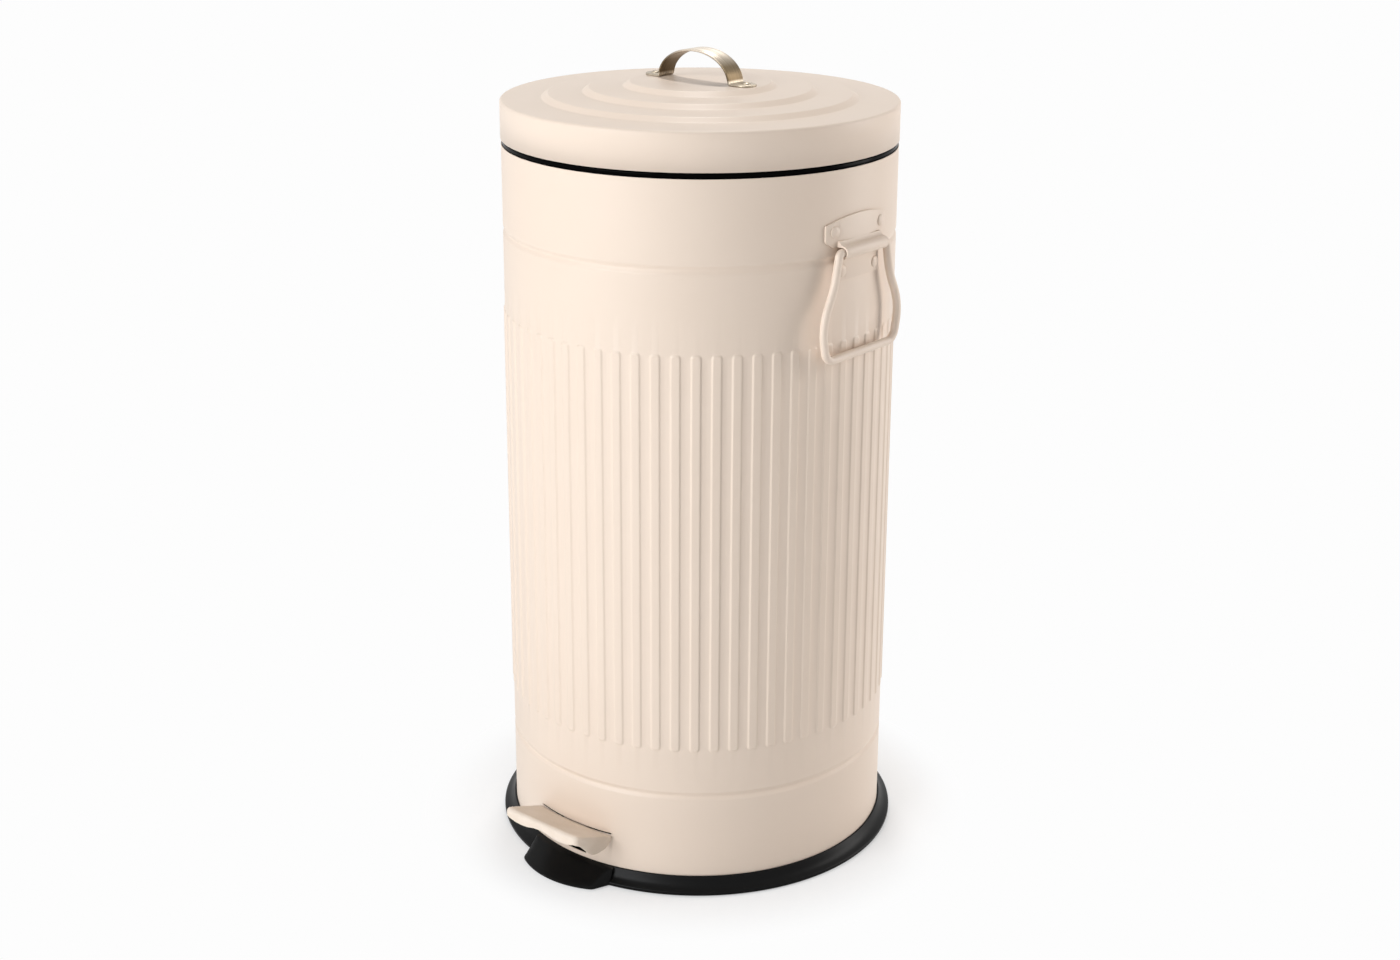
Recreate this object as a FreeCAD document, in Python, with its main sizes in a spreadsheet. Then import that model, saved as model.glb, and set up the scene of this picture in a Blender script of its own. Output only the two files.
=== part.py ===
import FreeCAD, Part
import Sketcher
import math
import os
import re

# A round steel pedal bin, in millimetres. +Z is up and the origin is on the floor, on the drum's axis.
# The pedal looks along -Y, the lid is hinged at +Y, and a carrying handle hangs on each side, at +X and -X.
# Stepping on the pedal tips a lever under the bucket, the lever lifts a rod at the back, and the rod turns
# the lid about its hinge.

# Sizes: name, value, meaning. A value that starts with = follows from the sizes it names.
SIZES = [
    ("drum_radius", 147, "outside of the drum wall"),
    ("gauge", 0.7, "sheet steel of the drum"),
    ("drum_foot", 8, "lower edge of the drum, hidden in the base"),
    ("drum_rim", 543.5, "upper edge of the drum, hidden in the collar"),
    ("groove_low", 78.5, "height of the lower rolled groove"),
    ("groove_down", 63.5, "upper rolled groove below the drum's rim"),
    ("groove_high", "=drum_rim - groove_down", "height of the upper rolled groove"),
    ("groove_half", 4.5, "half the height of a groove"),
    ("groove_depth", 1.0, "depth of a groove"),
    ("rib_count", 64, "pressed ribs round the drum"),
    ("rib_half", 4.15, "half the width of a rib at its root"),
    ("rib_rise", 0.8, "how far a rib stands out of the wall"),
    ("rib_up", 36.5, "foot of the ribs above the lower groove"),
    ("rib_foot", "=groove_low + rib_up", "lower end of the ribs"),
    ("rib_down", 59.5, "head of the ribs below the upper groove"),
    ("rib_head", "=groove_high - rib_down", "upper end of the ribs"),
    ("base_flare", 9.8, "how far the base's foot stands out of the drum"),
    ("base_radius", "=drum_radius + base_flare", "foot of the base's flare"),
    ("base_foot", 1.0, "underside of the base's skirt"),
    ("base_top", 12.7, "where the flare meets the drum"),
    ("base_lip", 1.4, "width of the flare's top edge outside the drum"),
    ("base_wall", 2.5, "wall of the moulded base"),
    ("base_spigot", 22, "top of the base's collar inside the drum"),
    ("toe_out", 18, "how far the toe under the pedal runs out of the base"),
    ("toe_reach", "=base_radius + toe_out", "front of the toe"),
    ("toe_half", 41.5, "half the width of the toe at the base"),
    ("toe_corner", 5.5, "how much narrower the toe is at its front corners"),
    ("toe_bow", 10, "how far the toe's front bows out between its corners"),
    ("toe_edge", 2, "upright edge round the toe"),
    ("foot_radius", 9, "rubber foot"),
    ("foot_in", 19, "middle of a rubber foot inside the drum's radius"),
    ("foot_circle", "=drum_radius - foot_in", "where the outer rubber feet sit"),
    ("bucket_gap", 21, "room between the drum's radius and the bucket"),
    ("bucket_top", "=drum_radius - bucket_gap", "outside of the bucket under its rim"),
    ("bucket_draft", 13, "how much narrower the bucket is at its floor"),
    ("bucket_base", "=bucket_top - bucket_draft", "outside of the bucket at its floor"),
    ("bucket_floor", 68, "underside of the bucket"),
    ("bucket_wall", 2, "wall of the moulded bucket"),
    ("bucket_brim", 11, "width of the bucket's rim"),
    ("bucket_rim", "=bucket_top + bucket_brim", "outside of the bucket's rim"),
    ("bucket_wire", 2, "radius of the bucket's wire handle"),
    ("collar_in", 0.5, "black collar inside the drum's radius"),
    ("collar_radius", "=drum_radius - collar_in", "black collar between drum and lid"),
    ("collar_skirt", 13.5, "how deep the collar reaches into the drum"),
    ("collar_foot", "=drum_rim - collar_skirt", "lower end of the collar inside the drum"),
    ("collar_gap", 4, "room between the bucket and the collar's shelf"),
    ("collar_bore", "=bucket_top + collar_gap", "inside of the collar"),
    ("collar_lip", 3, "how far the collar reaches up inside the lid"),
    ("collar_bead", 4.5, "height of the collar's bead between drum and lid"),
    ("lid_over", 0.4, "lid's radius over the drum's"),
    ("lid_radius", "=drum_radius + lid_over", "outside of the lid's skirt"),
    ("lid_gauge", 0.8, "sheet steel of the lid"),
    ("lid_foot", "=drum_rim + collar_bead", "lower edge of the lid's skirt"),
    ("lid_skirt", 28, "height of the lid's skirt"),
    ("lid_deck", "=lid_foot + lid_skirt", "height of the lid's outer deck"),
    ("lid_edge", 3, "radius of the lid's outer edge"),
    ("lid_slope", 0.5, "rise of each deck towards the centre"),
    ("step_rise", 3.5, "height of each ring step in the lid"),
    ("step_run", 5, "width of each ring step"),
    ("step_in", 30.4, "foot of the outermost ring step inside the lid's radius"),
    ("step_first", "=lid_radius - step_in", "radius of the outermost ring step's foot"),
    ("step_pitch", 30, "spacing of the ring steps"),
    ("strap_reach", 34, "half the span of the lid's strap handle"),
    ("strap_rise", 23.5, "height of the strap handle over the lid"),
    ("strap_half", 8.5, "half the width of the strap"),
    ("strap_gauge", 1.6, "thickness of the strap"),
    ("strap_foot", 17.5, "length of the strap's foot tabs"),
    ("strap_tab", "=strap_reach + strap_foot", "end of the strap's foot tabs"),
    ("strap_rivet", "=strap_reach + strap_foot - strap_half + 0.5", "rivets through the foot tabs"),
    ("hinge_out", 8, "hinge axis outside the drum wall"),
    ("hinge_drop", 12, "hinge axis under the lid's skirt"),
    ("pin_radius", 2.5, "hinge pin, and the wire of the push rod"),
    ("knuckle_wall", 2, "wall of the rolled hinge knuckles"),
    ("knuckle", "=pin_radius + knuckle_wall", "outside radius of the hinge knuckles"),
    ("leaf_half", 12.5, "half the width of the lid's leaf"),
    ("bracket_ear", 9, "how far the hinge bracket is wider than the leaf"),
    ("bracket_half", "=leaf_half + bracket_ear", "half the width of the hinge bracket"),
    ("bracket_tall", 22, "height of the hinge bracket on the drum"),
    ("bracket_rivet", 16, "hinge bracket's rivets from the bin's centre plane"),
    ("arm_radius", 24, "hinge axis to the rod's hole in the lid arm"),
    ("arm_angle", 40, "slope of the lid arm below level, in degrees"),
    ("arm_gauge", 2.5, "plate of the lid arm"),
    ("rod_side", 8, "push rod beside the bin's centre plane"),
    ("rod_play", 0.06, "running clearance of a pin in its hole"),
    ("guide_up", 30, "rod guide above the ribs"),
    ("guide_half", 9, "half the width of the rod guide"),
    ("guide_gauge", 1.5, "plate of the rod guide"),
    ("lever_pivot_back", 55, "pedal pivot in front of the drum's axis"),
    ("lever_pivot_up", 30.5, "height of the pedal pivot"),
    ("tail_in", 20, "rod's slot in the lever in front of the hinge axis"),
    ("lever_tail", "=drum_radius + hinge_out + lever_pivot_back - tail_in", "pedal pivot to the rod's slot"),
    ("lever_half", 12, "half the width of the pedal lever"),
    ("lever_gauge", 2.5, "plate of the pedal lever"),
    ("lever_fold", 6, "depth of the lever's folded sides"),
    ("pivot_radius", 3, "pedal pivot pin"),
    ("slot_play", 2, "room beside the lever in the drum's slot"),
    ("slot_half", "=lever_half + slot_play", "half the width of the pedal's slot in the drum"),
    ("slot_foot", 16, "lower edge of the pedal's slot"),
    ("slot_head", "=lever_pivot_up + pivot_radius + lever_gauge + 2.4", "upper edge of the pedal's slot"),
    ("pad_half", 35.5, "half the width of the pedal pad"),
    ("pad_gauge", 1.5, "sheet steel of the pedal pad"),
    ("pad_gap", 2.3, "gap between the pad and the drum"),
    ("pad_back", "=drum_radius + pad_gap", "rear edge of the pad from the drum's axis"),
    ("pad_depth", 33.7, "depth of the pad"),
    ("pad_front", "=pad_back + pad_depth", "front edge of the pad from the drum's axis"),
    ("pad_low", "=slot_head + 1.6", "height of the pad's rear edge"),
    ("pad_rise", 13, "how much higher the pad's front edge is"),
    ("pad_high", "=pad_low + pad_rise", "height of the pad's front edge"),
    ("pad_lip", 6.5, "depth of the pad's front lip"),
    ("pad_drop", 7.7, "lowest point of the pad's side flanges below its rear edge"),
    ("pad_lobe", "=pad_low - pad_drop", "height of that lowest point"),
    ("plate_gauge", 1.3, "sheet steel of the handle plates and hinge bracket"),
    ("plate_gap", 0.1, "paint between a plate and the drum"),
    ("bail_wire", 3, "radius of the carrying handle's wire"),
    ("bail_down", 57.5, "carrying handle's axis below the drum's rim"),
    ("bail_axis", "=drum_rim - bail_down", "height the carrying handle swings about"),
    ("bail_out", 4.0, "carrying handle's axis outside the drum wall"),
    ("bail_neck", 28, "half the width of the handle's neck"),
    ("bail_spread", 5, "how far the neck widens towards the shoulder"),
    ("bail_belly", 46.5, "half the width of the handle's widest part"),
    ("bail_base", 40.5, "half the width of the handle's grip"),
    ("bail_shoulder", 24, "axis to the handle's shoulder"),
    ("bail_waist", 50, "axis to the handle's widest part"),
    ("bail_drop", 76, "axis to the middle of the grip"),
    ("channel_half", "=bail_neck - bail_wire - 0.7", "half the length of the channel that holds the handle"),
    ("plate_half", 35.2, "half the width of the handle plate's upper part"),
    ("plate_crown", 25, "top of the handle plate above the handle's axis"),
    ("plate_corner", 19.3, "upper corners of the handle plate above the axis"),
    ("plate_cheek", 9.5, "lower end of the plate's upright sides above the axis"),
    ("tab_half", 25.3, "half the width of the plate's lower part"),
    ("tab_foot", 21, "lower edge of the plate below the axis"),
    ("tab_corner", 3, "rounding of the plate's lower corners"),
    ("upper_rivet", 26.8, "upper plate rivets beside the plate's middle"),
    ("upper_rivet_up", 14.3, "upper plate rivets above the axis"),
    ("lower_rivet", 19.5, "lower plate rivets beside the plate's middle"),
    ("lower_rivet_down", 14.5, "lower plate rivets below the axis"),
    ("rivet_head", 3.3, "radius of a rivet's head"),
    ("rivet_shank", 1.9, "radius of a rivet's shank"),
    ("rivet_dome", 1.5, "height of a rivet's head"),
    ("hole_play", 0.1, "clearance of a rivet in its hole"),
]

doc = FreeCAD.newDocument("pedal_bin")
sizes = doc.addObject("Spreadsheet::Sheet", "sizes")
for row, (alias, size, meaning) in enumerate(SIZES, start=1):
    sizes.set(f"A{row}", str(size))
    sizes.setAlias(f"A{row}", alias)
    sizes.set(f"B{row}", meaning)
doc.recompute()

ALIAS = re.compile(r"\b(" + "|".join(alias for alias, size, meaning in SIZES) + r")\b")


def formula(text):
    """An expression written in the sheet's names, in the form a property takes."""
    return ALIAS.sub(r"sizes.\1", str(text))


def value(text):
    """The number that an expression in the sheet's names comes to now."""
    result = clerk.evalExpression(formula(text))
    return float(getattr(result, "Value", result))


clerk = doc.addObject("App::FeaturePython", "clerk")


# Sketches -----------------------------------------------------------------------------------------


def trace(drawing, corners):
    """Draw a closed outline through the corners, each a pair of expressions.

    A corner of four expressions is reached by an arc through its last two. Every corner, and every
    arc's middle, is held by expressions, so the outline is fully constrained.
    """
    spots = [FreeCAD.Vector(value(corner[0]), value(corner[1]), 0) for corner in corners]
    ends = []
    for index, corner in enumerate(corners):
        start, end = spots[index - 1], spots[index]
        if len(corner) == 2:
            ends.append((drawing.addGeometry(Part.LineSegment(start, end)), 1, 2))
            continue
        middle = FreeCAD.Vector(value(corner[2]), value(corner[3]), 0)
        turn = (middle - start).cross(end - middle).z
        arc = Part.Arc(start, middle, end) if turn > 0 else Part.Arc(end, middle, start)
        side = drawing.addGeometry(arc)
        ends.append((side, 1, 2) if turn > 0 else (side, 2, 1))
        point = drawing.addGeometry(Part.Point(middle), True)
        hold(drawing, point, 1, corner[2], corner[3])
        drawing.addConstraint(Sketcher.Constraint("PointOnObject", point, 1, side))
    for index, corner in enumerate(corners):
        side, first, last = ends[index]
        after, after_first, after_last = ends[(index + 1) % len(ends)]
        drawing.addConstraint(Sketcher.Constraint("Coincident", side, last, after, after_first))
        hold(drawing, side, last, corner[0], corner[1])


def hold(drawing, side, end, x, y):
    """Fix one point of a sketch by two expressions, measured from the sketch's origin."""
    for direction, axis, text in (("DistanceX", -2, x), ("DistanceY", -1, y)):
        amount = value(text)
        if abs(amount) < 1e-9:
            drawing.addConstraint(Sketcher.Constraint("PointOnObject", side, end, axis))
        elif amount > 0:
            number = drawing.addConstraint(Sketcher.Constraint(direction, -1, 1, side, end, amount))
            drawing.setExpression(f"Constraints[{number}]", formula(text))
        else:
            number = drawing.addConstraint(Sketcher.Constraint(direction, side, end, -1, 1, -amount))
            drawing.setExpression(f"Constraints[{number}]", formula(f"-({text})"))


# Rotations of a free sketch: its own x and y lie along these pairs of the bin's axes.
FACING = {
    "XY": FreeCAD.Rotation(0, 0, 0),
    "XZ": FreeCAD.Rotation(FreeCAD.Vector(1, 0, 0), 90),
    "YZ": FreeCAD.Rotation(FreeCAD.Vector(1, 1, 1), 120),
}


def extrude(label, facing, corners, start, length):
    """A prism on an outline. An XY outline rises along Z, XZ runs to -Y and YZ runs to +X."""
    drawing = doc.addObject("Sketcher::SketchObject", f"{label}_outline")
    drawing.Placement = FreeCAD.Placement(FreeCAD.Vector(), FACING[facing])
    trace(drawing, corners)
    prism = doc.addObject("Part::Extrusion", label)
    prism.Base = drawing
    prism.DirMode = "Normal"
    prism.Solid = True
    prism.setExpression("LengthFwd", formula(f"{start} + {length}"))
    prism.setExpression("LengthRev", formula(f"-({start})"))
    return prism


def slab(label, facing, corners, half):
    """A prism on an outline that runs half a width to each side of the outline's plane."""
    return extrude(label, facing, corners, f"-({half})", f"2 * ({half})")


# Bodies -------------------------------------------------------------------------------------------


def origin_plane(body, role):
    return next(item for item in body.Origin.OriginFeatures if item.Role == role)


def draw(body, label, role, corners, lift="0"):
    """An outline on one of the body's own planes, lifted along the plane's normal."""
    drawing = body.newObject("Sketcher::SketchObject", label)
    drawing.AttachmentSupport = (origin_plane(body, role), [""])
    drawing.MapMode = "FlatFace"
    drawing.setExpression(".AttachmentOffset.Base.z", formula(lift))
    trace(drawing, corners)
    return drawing


def turned(label, corners):
    """A body turned about the bin's axis from an outline of radius and height."""
    body = doc.addObject("PartDesign::Body", label)
    outline = draw(body, f"{label}_profile", "XZ_Plane", corners)
    spin = body.newObject("PartDesign::Revolution", f"{label}_turning")
    spin.Profile = outline
    spin.ReferenceAxis = (outline, ["V_Axis"])
    spin.Angle = 360
    body.Tip = spin
    return body


# Primitives ---------------------------------------------------------------------------------------


def bind(item, **expressions):
    for name, text in expressions.items():
        item.setExpression(name, formula(text))
    return item


def place(item, x="0", y="0", z="0"):
    """Put an object's own origin at a spot given by three expressions."""
    for name, text in (("x", x), ("y", y), ("z", z)):
        item.setExpression(f".Placement.Base.{name}", formula(text))
    return item


def cylinder(label, radius, height, along="Z", **spot):
    """A cylinder that starts at the spot and runs along an axis of the bin."""
    item = bind(doc.addObject("Part::Cylinder", label), Radius=radius, Height=height)
    turns = {
        "Z": FreeCAD.Rotation(),
        "X": FreeCAD.Rotation(FreeCAD.Vector(0, 1, 0), 90),
        "Y": FreeCAD.Rotation(FreeCAD.Vector(1, 0, 0), -90),
    }
    item.Placement = FreeCAD.Placement(FreeCAD.Vector(), turns[along])
    return place(item, **spot)


def block(label, length, width, height, **spot):
    item = bind(doc.addObject("Part::Box", label), Length=length, Width=width, Height=height)
    return place(item, **spot)


def fuse(label, *items):
    result = doc.addObject("Part::MultiFuse", label)
    result.Shapes = list(items)
    return result


def cut(label, base, *tools):
    result = doc.addObject("Part::Cut", label)
    result.Base = base
    result.Tool = tools[0] if len(tools) == 1 else fuse(f"{label}_tools", *tools)
    return result


def common(label, *items):
    result = doc.addObject("Part::MultiCommon", label)
    result.Shapes = list(items)
    return result


def group(label, items):
    result = doc.addObject("Part::Compound", label)
    result.Links = list(items)
    return result


def mirrored(label, source):
    """The same piece on the other side of the bin's centre plane."""
    result = doc.addObject("Part::Mirroring", label)
    result.Source = source
    result.Normal = FreeCAD.Vector(1, 0, 0)
    return result


def made(label, shape):
    """A piece whose shape comes from a path, for wires that no sketch feature follows well."""
    result = doc.addObject("Part::Feature", label)
    result.Shape = shape
    return result


def bent_wire(points, radii, wire_radius):
    """Round wire along straight runs joined by tangent arcs: one radius for each inner point."""
    edges = []
    start = points[0]
    for before, corner, after, radius in zip(points, points[1:], points[2:], radii):
        inward = (before - corner).normalize()
        outward = (after - corner).normalize()
        half_turn = (math.pi - inward.getAngle(outward)) / 2
        trim = radius * math.tan(half_turn)
        first = corner + inward * trim
        last = corner + outward * trim
        bisector = (inward + outward).normalize()
        middle = corner + bisector * (radius / math.cos(half_turn) - radius)
        edges.append(Part.LineSegment(start, first).toShape())
        edges.append(Part.Arc(first, middle, last).toShape())
        start = last
    edges.append(Part.LineSegment(start, points[-1]).toShape())
    path = Part.Wire(edges)
    along = (points[1] - points[0]).normalize()
    circle = Part.Wire([Part.Circle(points[0], along, wire_radius).toShape()])
    return path.makePipeShell([circle], True, False)


def rivets(label, spots, grip, flush=False):
    """Domed rivets. Each spot is a place on the outer face and the direction the head looks.

    The far end is a flat button, or is hammered flush with the plate.
    """
    head, shank, dome = value("rivet_head"), value("rivet_shank"), value("rivet_dome")
    tail_gap, tail_long = 0.3, 1
    ball = (head ** 2 + dome ** 2) / (2 * dome)
    cap = Part.makeSphere(ball, FreeCAD.Vector(0, 0, dome - ball))
    cap = cap.common(Part.makeCylinder(head + 1, dome + 1))
    neck = Part.makeCylinder(shank, grip + tail_gap, FreeCAD.Vector(0, 0, -grip - tail_gap))
    tail = Part.makeCylinder(head * 0.8, tail_long, FreeCAD.Vector(0, 0, -grip - tail_gap - tail_long))
    if flush:
        neck = Part.makeCylinder(shank, grip, FreeCAD.Vector(0, 0, -grip))
    rivet = cap.fuse([neck] if flush else [neck, tail]).removeSplitter()
    solids = []
    for spot, direction in spots:
        turn = FreeCAD.Rotation(FreeCAD.Vector(0, 0, 1), direction)
        solids.append(rivet.transformed(FreeCAD.Placement(spot, turn).toMatrix()))
    return made(label, Part.makeCompound(solids))


def drills(label, spots, depth):
    """Holes for rivets, as one tool to cut with: each runs to both sides of its spot."""
    radius = value("rivet_shank + hole_play")
    holes = []
    for spot, direction in spots:
        start = spot - direction * depth
        holes.append(Part.makeCylinder(radius, 2 * depth, start, direction))
    return made(label, Part.makeCompound(holes))


# Drum ---------------------------------------------------------------------------------------------

DRUM_BORE = "(drum_radius - gauge)"
LOW_UNDER, LOW_OVER = "groove_low - groove_half", "groove_low + groove_half"
HIGH_UNDER, HIGH_OVER = "groove_high - groove_half", "groove_high + groove_half"
GROOVED = "drum_radius - groove_depth"
GROOVED_BORE = f"{DRUM_BORE} - groove_depth"

shell = turned("drum_sheet", [
    ("drum_radius", "drum_foot"),
    ("drum_radius", LOW_UNDER),
    ("drum_radius", LOW_OVER, GROOVED, "groove_low"),
    ("drum_radius", HIGH_UNDER),
    ("drum_radius", HIGH_OVER, GROOVED, "groove_high"),
    ("drum_radius", "drum_rim"),
    (DRUM_BORE, "drum_rim"),
    (DRUM_BORE, HIGH_OVER),
    (DRUM_BORE, HIGH_UNDER, GROOVED_BORE, "groove_high"),
    (DRUM_BORE, LOW_OVER),
    (DRUM_BORE, LOW_UNDER, GROOVED_BORE, "groove_low"),
    (DRUM_BORE, "drum_foot"),
])


def stadium(half, foot, head):
    """An upright slot outline with round ends."""
    return [
        (f"-({half})", f"{foot} + {half}"),
        (half, f"{foot} + {half}", "0", foot),
        (half, f"{head} - {half}"),
        (f"-({half})", f"{head} - {half}", "0", head),
    ]


# A rib has a flat top, sloping flanks and round ends. It is a solid bar on the wall, not hollow inside.
rib_outline = draw(shell, "rib_outline", "XZ_Plane", stadium("rib_half", "rib_foot", "rib_head"),
                   lift="drum_radius - gauge / 2")
rib = shell.newObject("PartDesign::Pad", "rib")
rib.Profile = rib_outline
bind(rib, Length="rib_rise + gauge / 2")
rib.TaperAngle = -45

turning = shell.newObject("PartDesign::PolarPattern", "ribs")
turning.Originals = [rib]
turning.Axis = (origin_plane(shell, "Z_Axis"), [""])
turning.Angle = 360
bind(turning, Occurrences="rib_count")
shell.Tip = turning

pedal_slot = block("pedal_slot", "2 * slot_half", "20", "slot_head - slot_foot",
                   x="-slot_half", y="-drum_radius - 10", z="slot_foot")
NOTCH_HALF = "(arm_gauge / 2 + 2)"
HINGE_UP = "(lid_foot - hinge_drop)"
HINGE_BACK = "(drum_radius + hinge_out)"
NOTCH_FOOT = f"({HINGE_UP} - knuckle - hinge_out - 2)"
arm_notch = block("arm_notch", f"2 * {NOTCH_HALF}", "20", "drum_rim",
                  x=f"-{NOTCH_HALF}", y="drum_radius - 10", z=NOTCH_FOOT)


def round_wall(facing, beside, height, radius="drum_radius"):
    """A spot on the drum beside the direction it faces, in degrees from +X, and the way out from there."""
    angle = math.radians(facing) + math.asin(value(beside) / value(radius))
    out = FreeCAD.Vector(math.cos(angle), math.sin(angle), 0)
    return out * value(radius) + FreeCAD.Vector(0, 0, value(height)), out


PLATE_FACE = "drum_radius + plate_gap + plate_gauge"
HANDLE_HOLES = [("upper_rivet", "bail_axis + upper_rivet_up"), ("lower_rivet", "bail_axis - lower_rivet_down")]
GUIDE_HEIGHT = "(rib_head + guide_up)"
right_rivets, left_rivets = [
    [round_wall(facing, f"{side} * {beside}", height, PLATE_FACE)
     for beside, height in HANDLE_HOLES for side in (-1, 1)]
    for facing in (0, 180)]
BRACKET_HEAD = f"({HINGE_UP} - 3 * knuckle - 0.5)"
bracket_rivets = [round_wall(90, f"{side} * bracket_rivet", f"{BRACKET_HEAD} - {share} * bracket_tall", PLATE_FACE)
                  for share in (0.23, 0.77) for side in (-1, 1)]
guide_rivets = [round_wall(90, f"-rod_side + {side} * guide_half / 2", f"{GUIDE_HEIGHT} + 8") for side in (-1, 1)]
wall_drills = drills("wall_drills", right_rivets + left_rivets + bracket_rivets + guide_rivets, 6)
outer_shell = cut("outer_shell", shell, pedal_slot, arm_notch, wall_drills)

# Base ---------------------------------------------------------------------------------------------

FLARE_TOP = "drum_radius + base_lip"
SEAT = "drum_radius + 0.2"
SPIGOT = "(drum_radius - gauge - 0.3)"
ring = turned("base_ring", [
    ("base_radius", "base_foot"),
    ("base_radius", "base_foot + 2"),
    (FLARE_TOP, "base_top - 0.6", "(base_radius + drum_radius + base_lip) / 2 - 0.7", "base_top / 2 + 0.6"),
    (SEAT, "base_top"),
    (SEAT, "drum_foot"),
    (SPIGOT, "drum_foot"),
    (SPIGOT, "base_spigot"),
    (f"{SPIGOT} - base_wall", "base_spigot"),
    (f"{SPIGOT} - base_wall", "base_foot + 2 * base_wall"),
    ("0", "base_foot + 2 * base_wall"),
    ("0", "base_foot + base_wall"),
    ("base_radius - 5", "base_foot + base_wall"),
    ("base_radius - 3", "base_foot"),
])
FLOOR = "(base_foot + 2 * base_wall)"

toe_body = doc.addObject("PartDesign::Body", "toe_body")
TOE_FRONT = "(toe_half - toe_corner)"
TOE_BACK = "(drum_radius - 6)"
toe_low = draw(toe_body, "toe_low", "XY_Plane", [
    ("-toe_half", "-(base_radius - 6.5)"),
    (f"-{TOE_FRONT}", "-(toe_reach - toe_bow)"),
    (TOE_FRONT, "-(toe_reach - toe_bow)", "0", "-toe_reach"),
    ("toe_half", "-(base_radius - 6.5)"),
    ("toe_half - 3", f"-{TOE_BACK}"),
    ("-(toe_half - 3)", f"-{TOE_BACK}"),
], lift="base_foot + toe_edge")
toe_high = draw(toe_body, "toe_high", "XY_Plane", [
    ("-(toe_half - 1.5)", "-(drum_radius - 1.5)"),
    ("-(toe_half - 2)", "-drum_radius"),
    ("toe_half - 2", "-drum_radius", "0", "-(drum_radius + 4.8)"),
    ("toe_half - 1.5", "-(drum_radius - 1.5)"),
    ("toe_half - 4", f"-{TOE_BACK}"),
    ("-(toe_half - 4)", f"-{TOE_BACK}"),
], lift="base_top - 0.2")
toe_loft = toe_body.newObject("PartDesign::AdditiveLoft", "toe_loft")
toe_loft.Profile = toe_low
toe_loft.Sections = [toe_high]
toe_loft.Ruled = True
toe_sole = toe_body.newObject("PartDesign::Pad", "toe_sole")
toe_sole.Profile = toe_low
bind(toe_sole, Length="toe_edge")
toe_sole.Reversed = True
toe_body.Tip = toe_sole
drum_seat = cylinder("drum_seat", SEAT, "20", z="drum_foot")
spigot_core = cylinder("spigot_core", SPIGOT, "40", z="0")
toe = cut("toe", toe_body, drum_seat, spigot_core)

# Two bosses rise from the floor on either side of the lever and hold the ends of its pivot pin.
BOSS_IN = "(lever_half + 1)"
BOSS_LONG = "6"
PIVOT_BACK = "-lever_pivot_back"
boss_rows = []
for side, start in (("right", BOSS_IN), ("left", f"-{BOSS_IN} - {BOSS_LONG}")):
    web = block(f"boss_web_{side}", BOSS_LONG, "4 * pivot_radius", f"lever_pivot_up - {FLOOR} + 1",
                x=start, y=f"{PIVOT_BACK} - 2 * pivot_radius", z=f"{FLOOR} - 1")
    eye = cylinder(f"boss_eye_{side}", "2 * pivot_radius", BOSS_LONG, along="X",
                   x=start, y=PIVOT_BACK, z="lever_pivot_up")
    boss_rows += [web, eye]
pivot_hole = cylinder("pivot_hole", "pivot_radius", "4 * lever_half", along="X",
                      x="-2 * lever_half", y=PIVOT_BACK, z="lever_pivot_up")
spigot_slot = block("spigot_slot", "2 * slot_half + 4", "12", "60",
                    x="-slot_half - 2", y=f"-{SPIGOT} - 0.3", z=f"{FLOOR} + 1")
base = cut("base", fuse("base_solid", ring, toe, *boss_rows), pivot_hole, spigot_slot)

pivot_pin = cylinder("pedal_pivot_pin", "pivot_radius", f"2 * ({BOSS_IN} + {BOSS_LONG} + 2)", along="X",
                     x=f"-({BOSS_IN} + {BOSS_LONG} + 2)", y=PIVOT_BACK, z="lever_pivot_up")
CLIP_OUT = f"({BOSS_IN} + {BOSS_LONG} + 0.2)"
clips = []
for side, start in (("right", CLIP_OUT), ("left", f"-{CLIP_OUT} - 1")):
    disc = cylinder(f"clip_disc_{side}", "2 * pivot_radius", "1", along="X",
                    x=start, y=PIVOT_BACK, z="lever_pivot_up")
    eye = cylinder(f"clip_eye_{side}", "pivot_radius", "1", along="X",
                   x=start, y=PIVOT_BACK, z="lever_pivot_up")
    clips.append(cut(f"clip_{side}", disc, eye))
pivot_clips = group("pedal_pivot_clips", clips)

feet = []
for turn in (45, 135, 225, 315):
    feet.append(cylinder(f"foot_{turn}", "foot_radius", "base_foot + base_wall",
                         x=f"foot_circle * cos({turn})", y=f"foot_circle * sin({turn})"))
feet.append(cylinder("foot_middle", "foot_radius", "base_foot + base_wall"))
rubber_feet = group("rubber_feet", feet)

# Collar -------------------------------------------------------------------------------------------

collar_ring = turned("collar_ring", [
    ("collar_radius - 1.2", "drum_rim + 0.1"),
    ("collar_radius - 1.2", "lid_foot - 0.3", "collar_radius", "(drum_rim + lid_foot) / 2"),
    ("collar_radius - 3", "lid_foot - 0.3"),
    ("collar_radius - 3", "lid_foot + collar_lip"),
    ("collar_radius - 5.5", "lid_foot + collar_lip"),
    ("collar_radius - 5.5", "lid_foot - 2"),
    ("collar_bore", "lid_foot - 2"),
    ("collar_bore", "lid_foot - 4.5"),
    ("collar_radius - 5.5", "lid_foot - 4.5"),
    ("collar_radius - 3", "collar_foot"),
    (f"{DRUM_BORE} - 0.3", "collar_foot"),
    (f"{DRUM_BORE} - 0.3", "drum_rim + 0.1"),
])
collar_notch = block("collar_notch", "34", "collar_radius - collar_bore + 30", "80",
                     x="-15", y="collar_bore - 20", z="collar_foot - 10")
top_collar = cut("top_collar", collar_ring, collar_notch)

# Lid ----------------------------------------------------------------------------------------------


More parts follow.
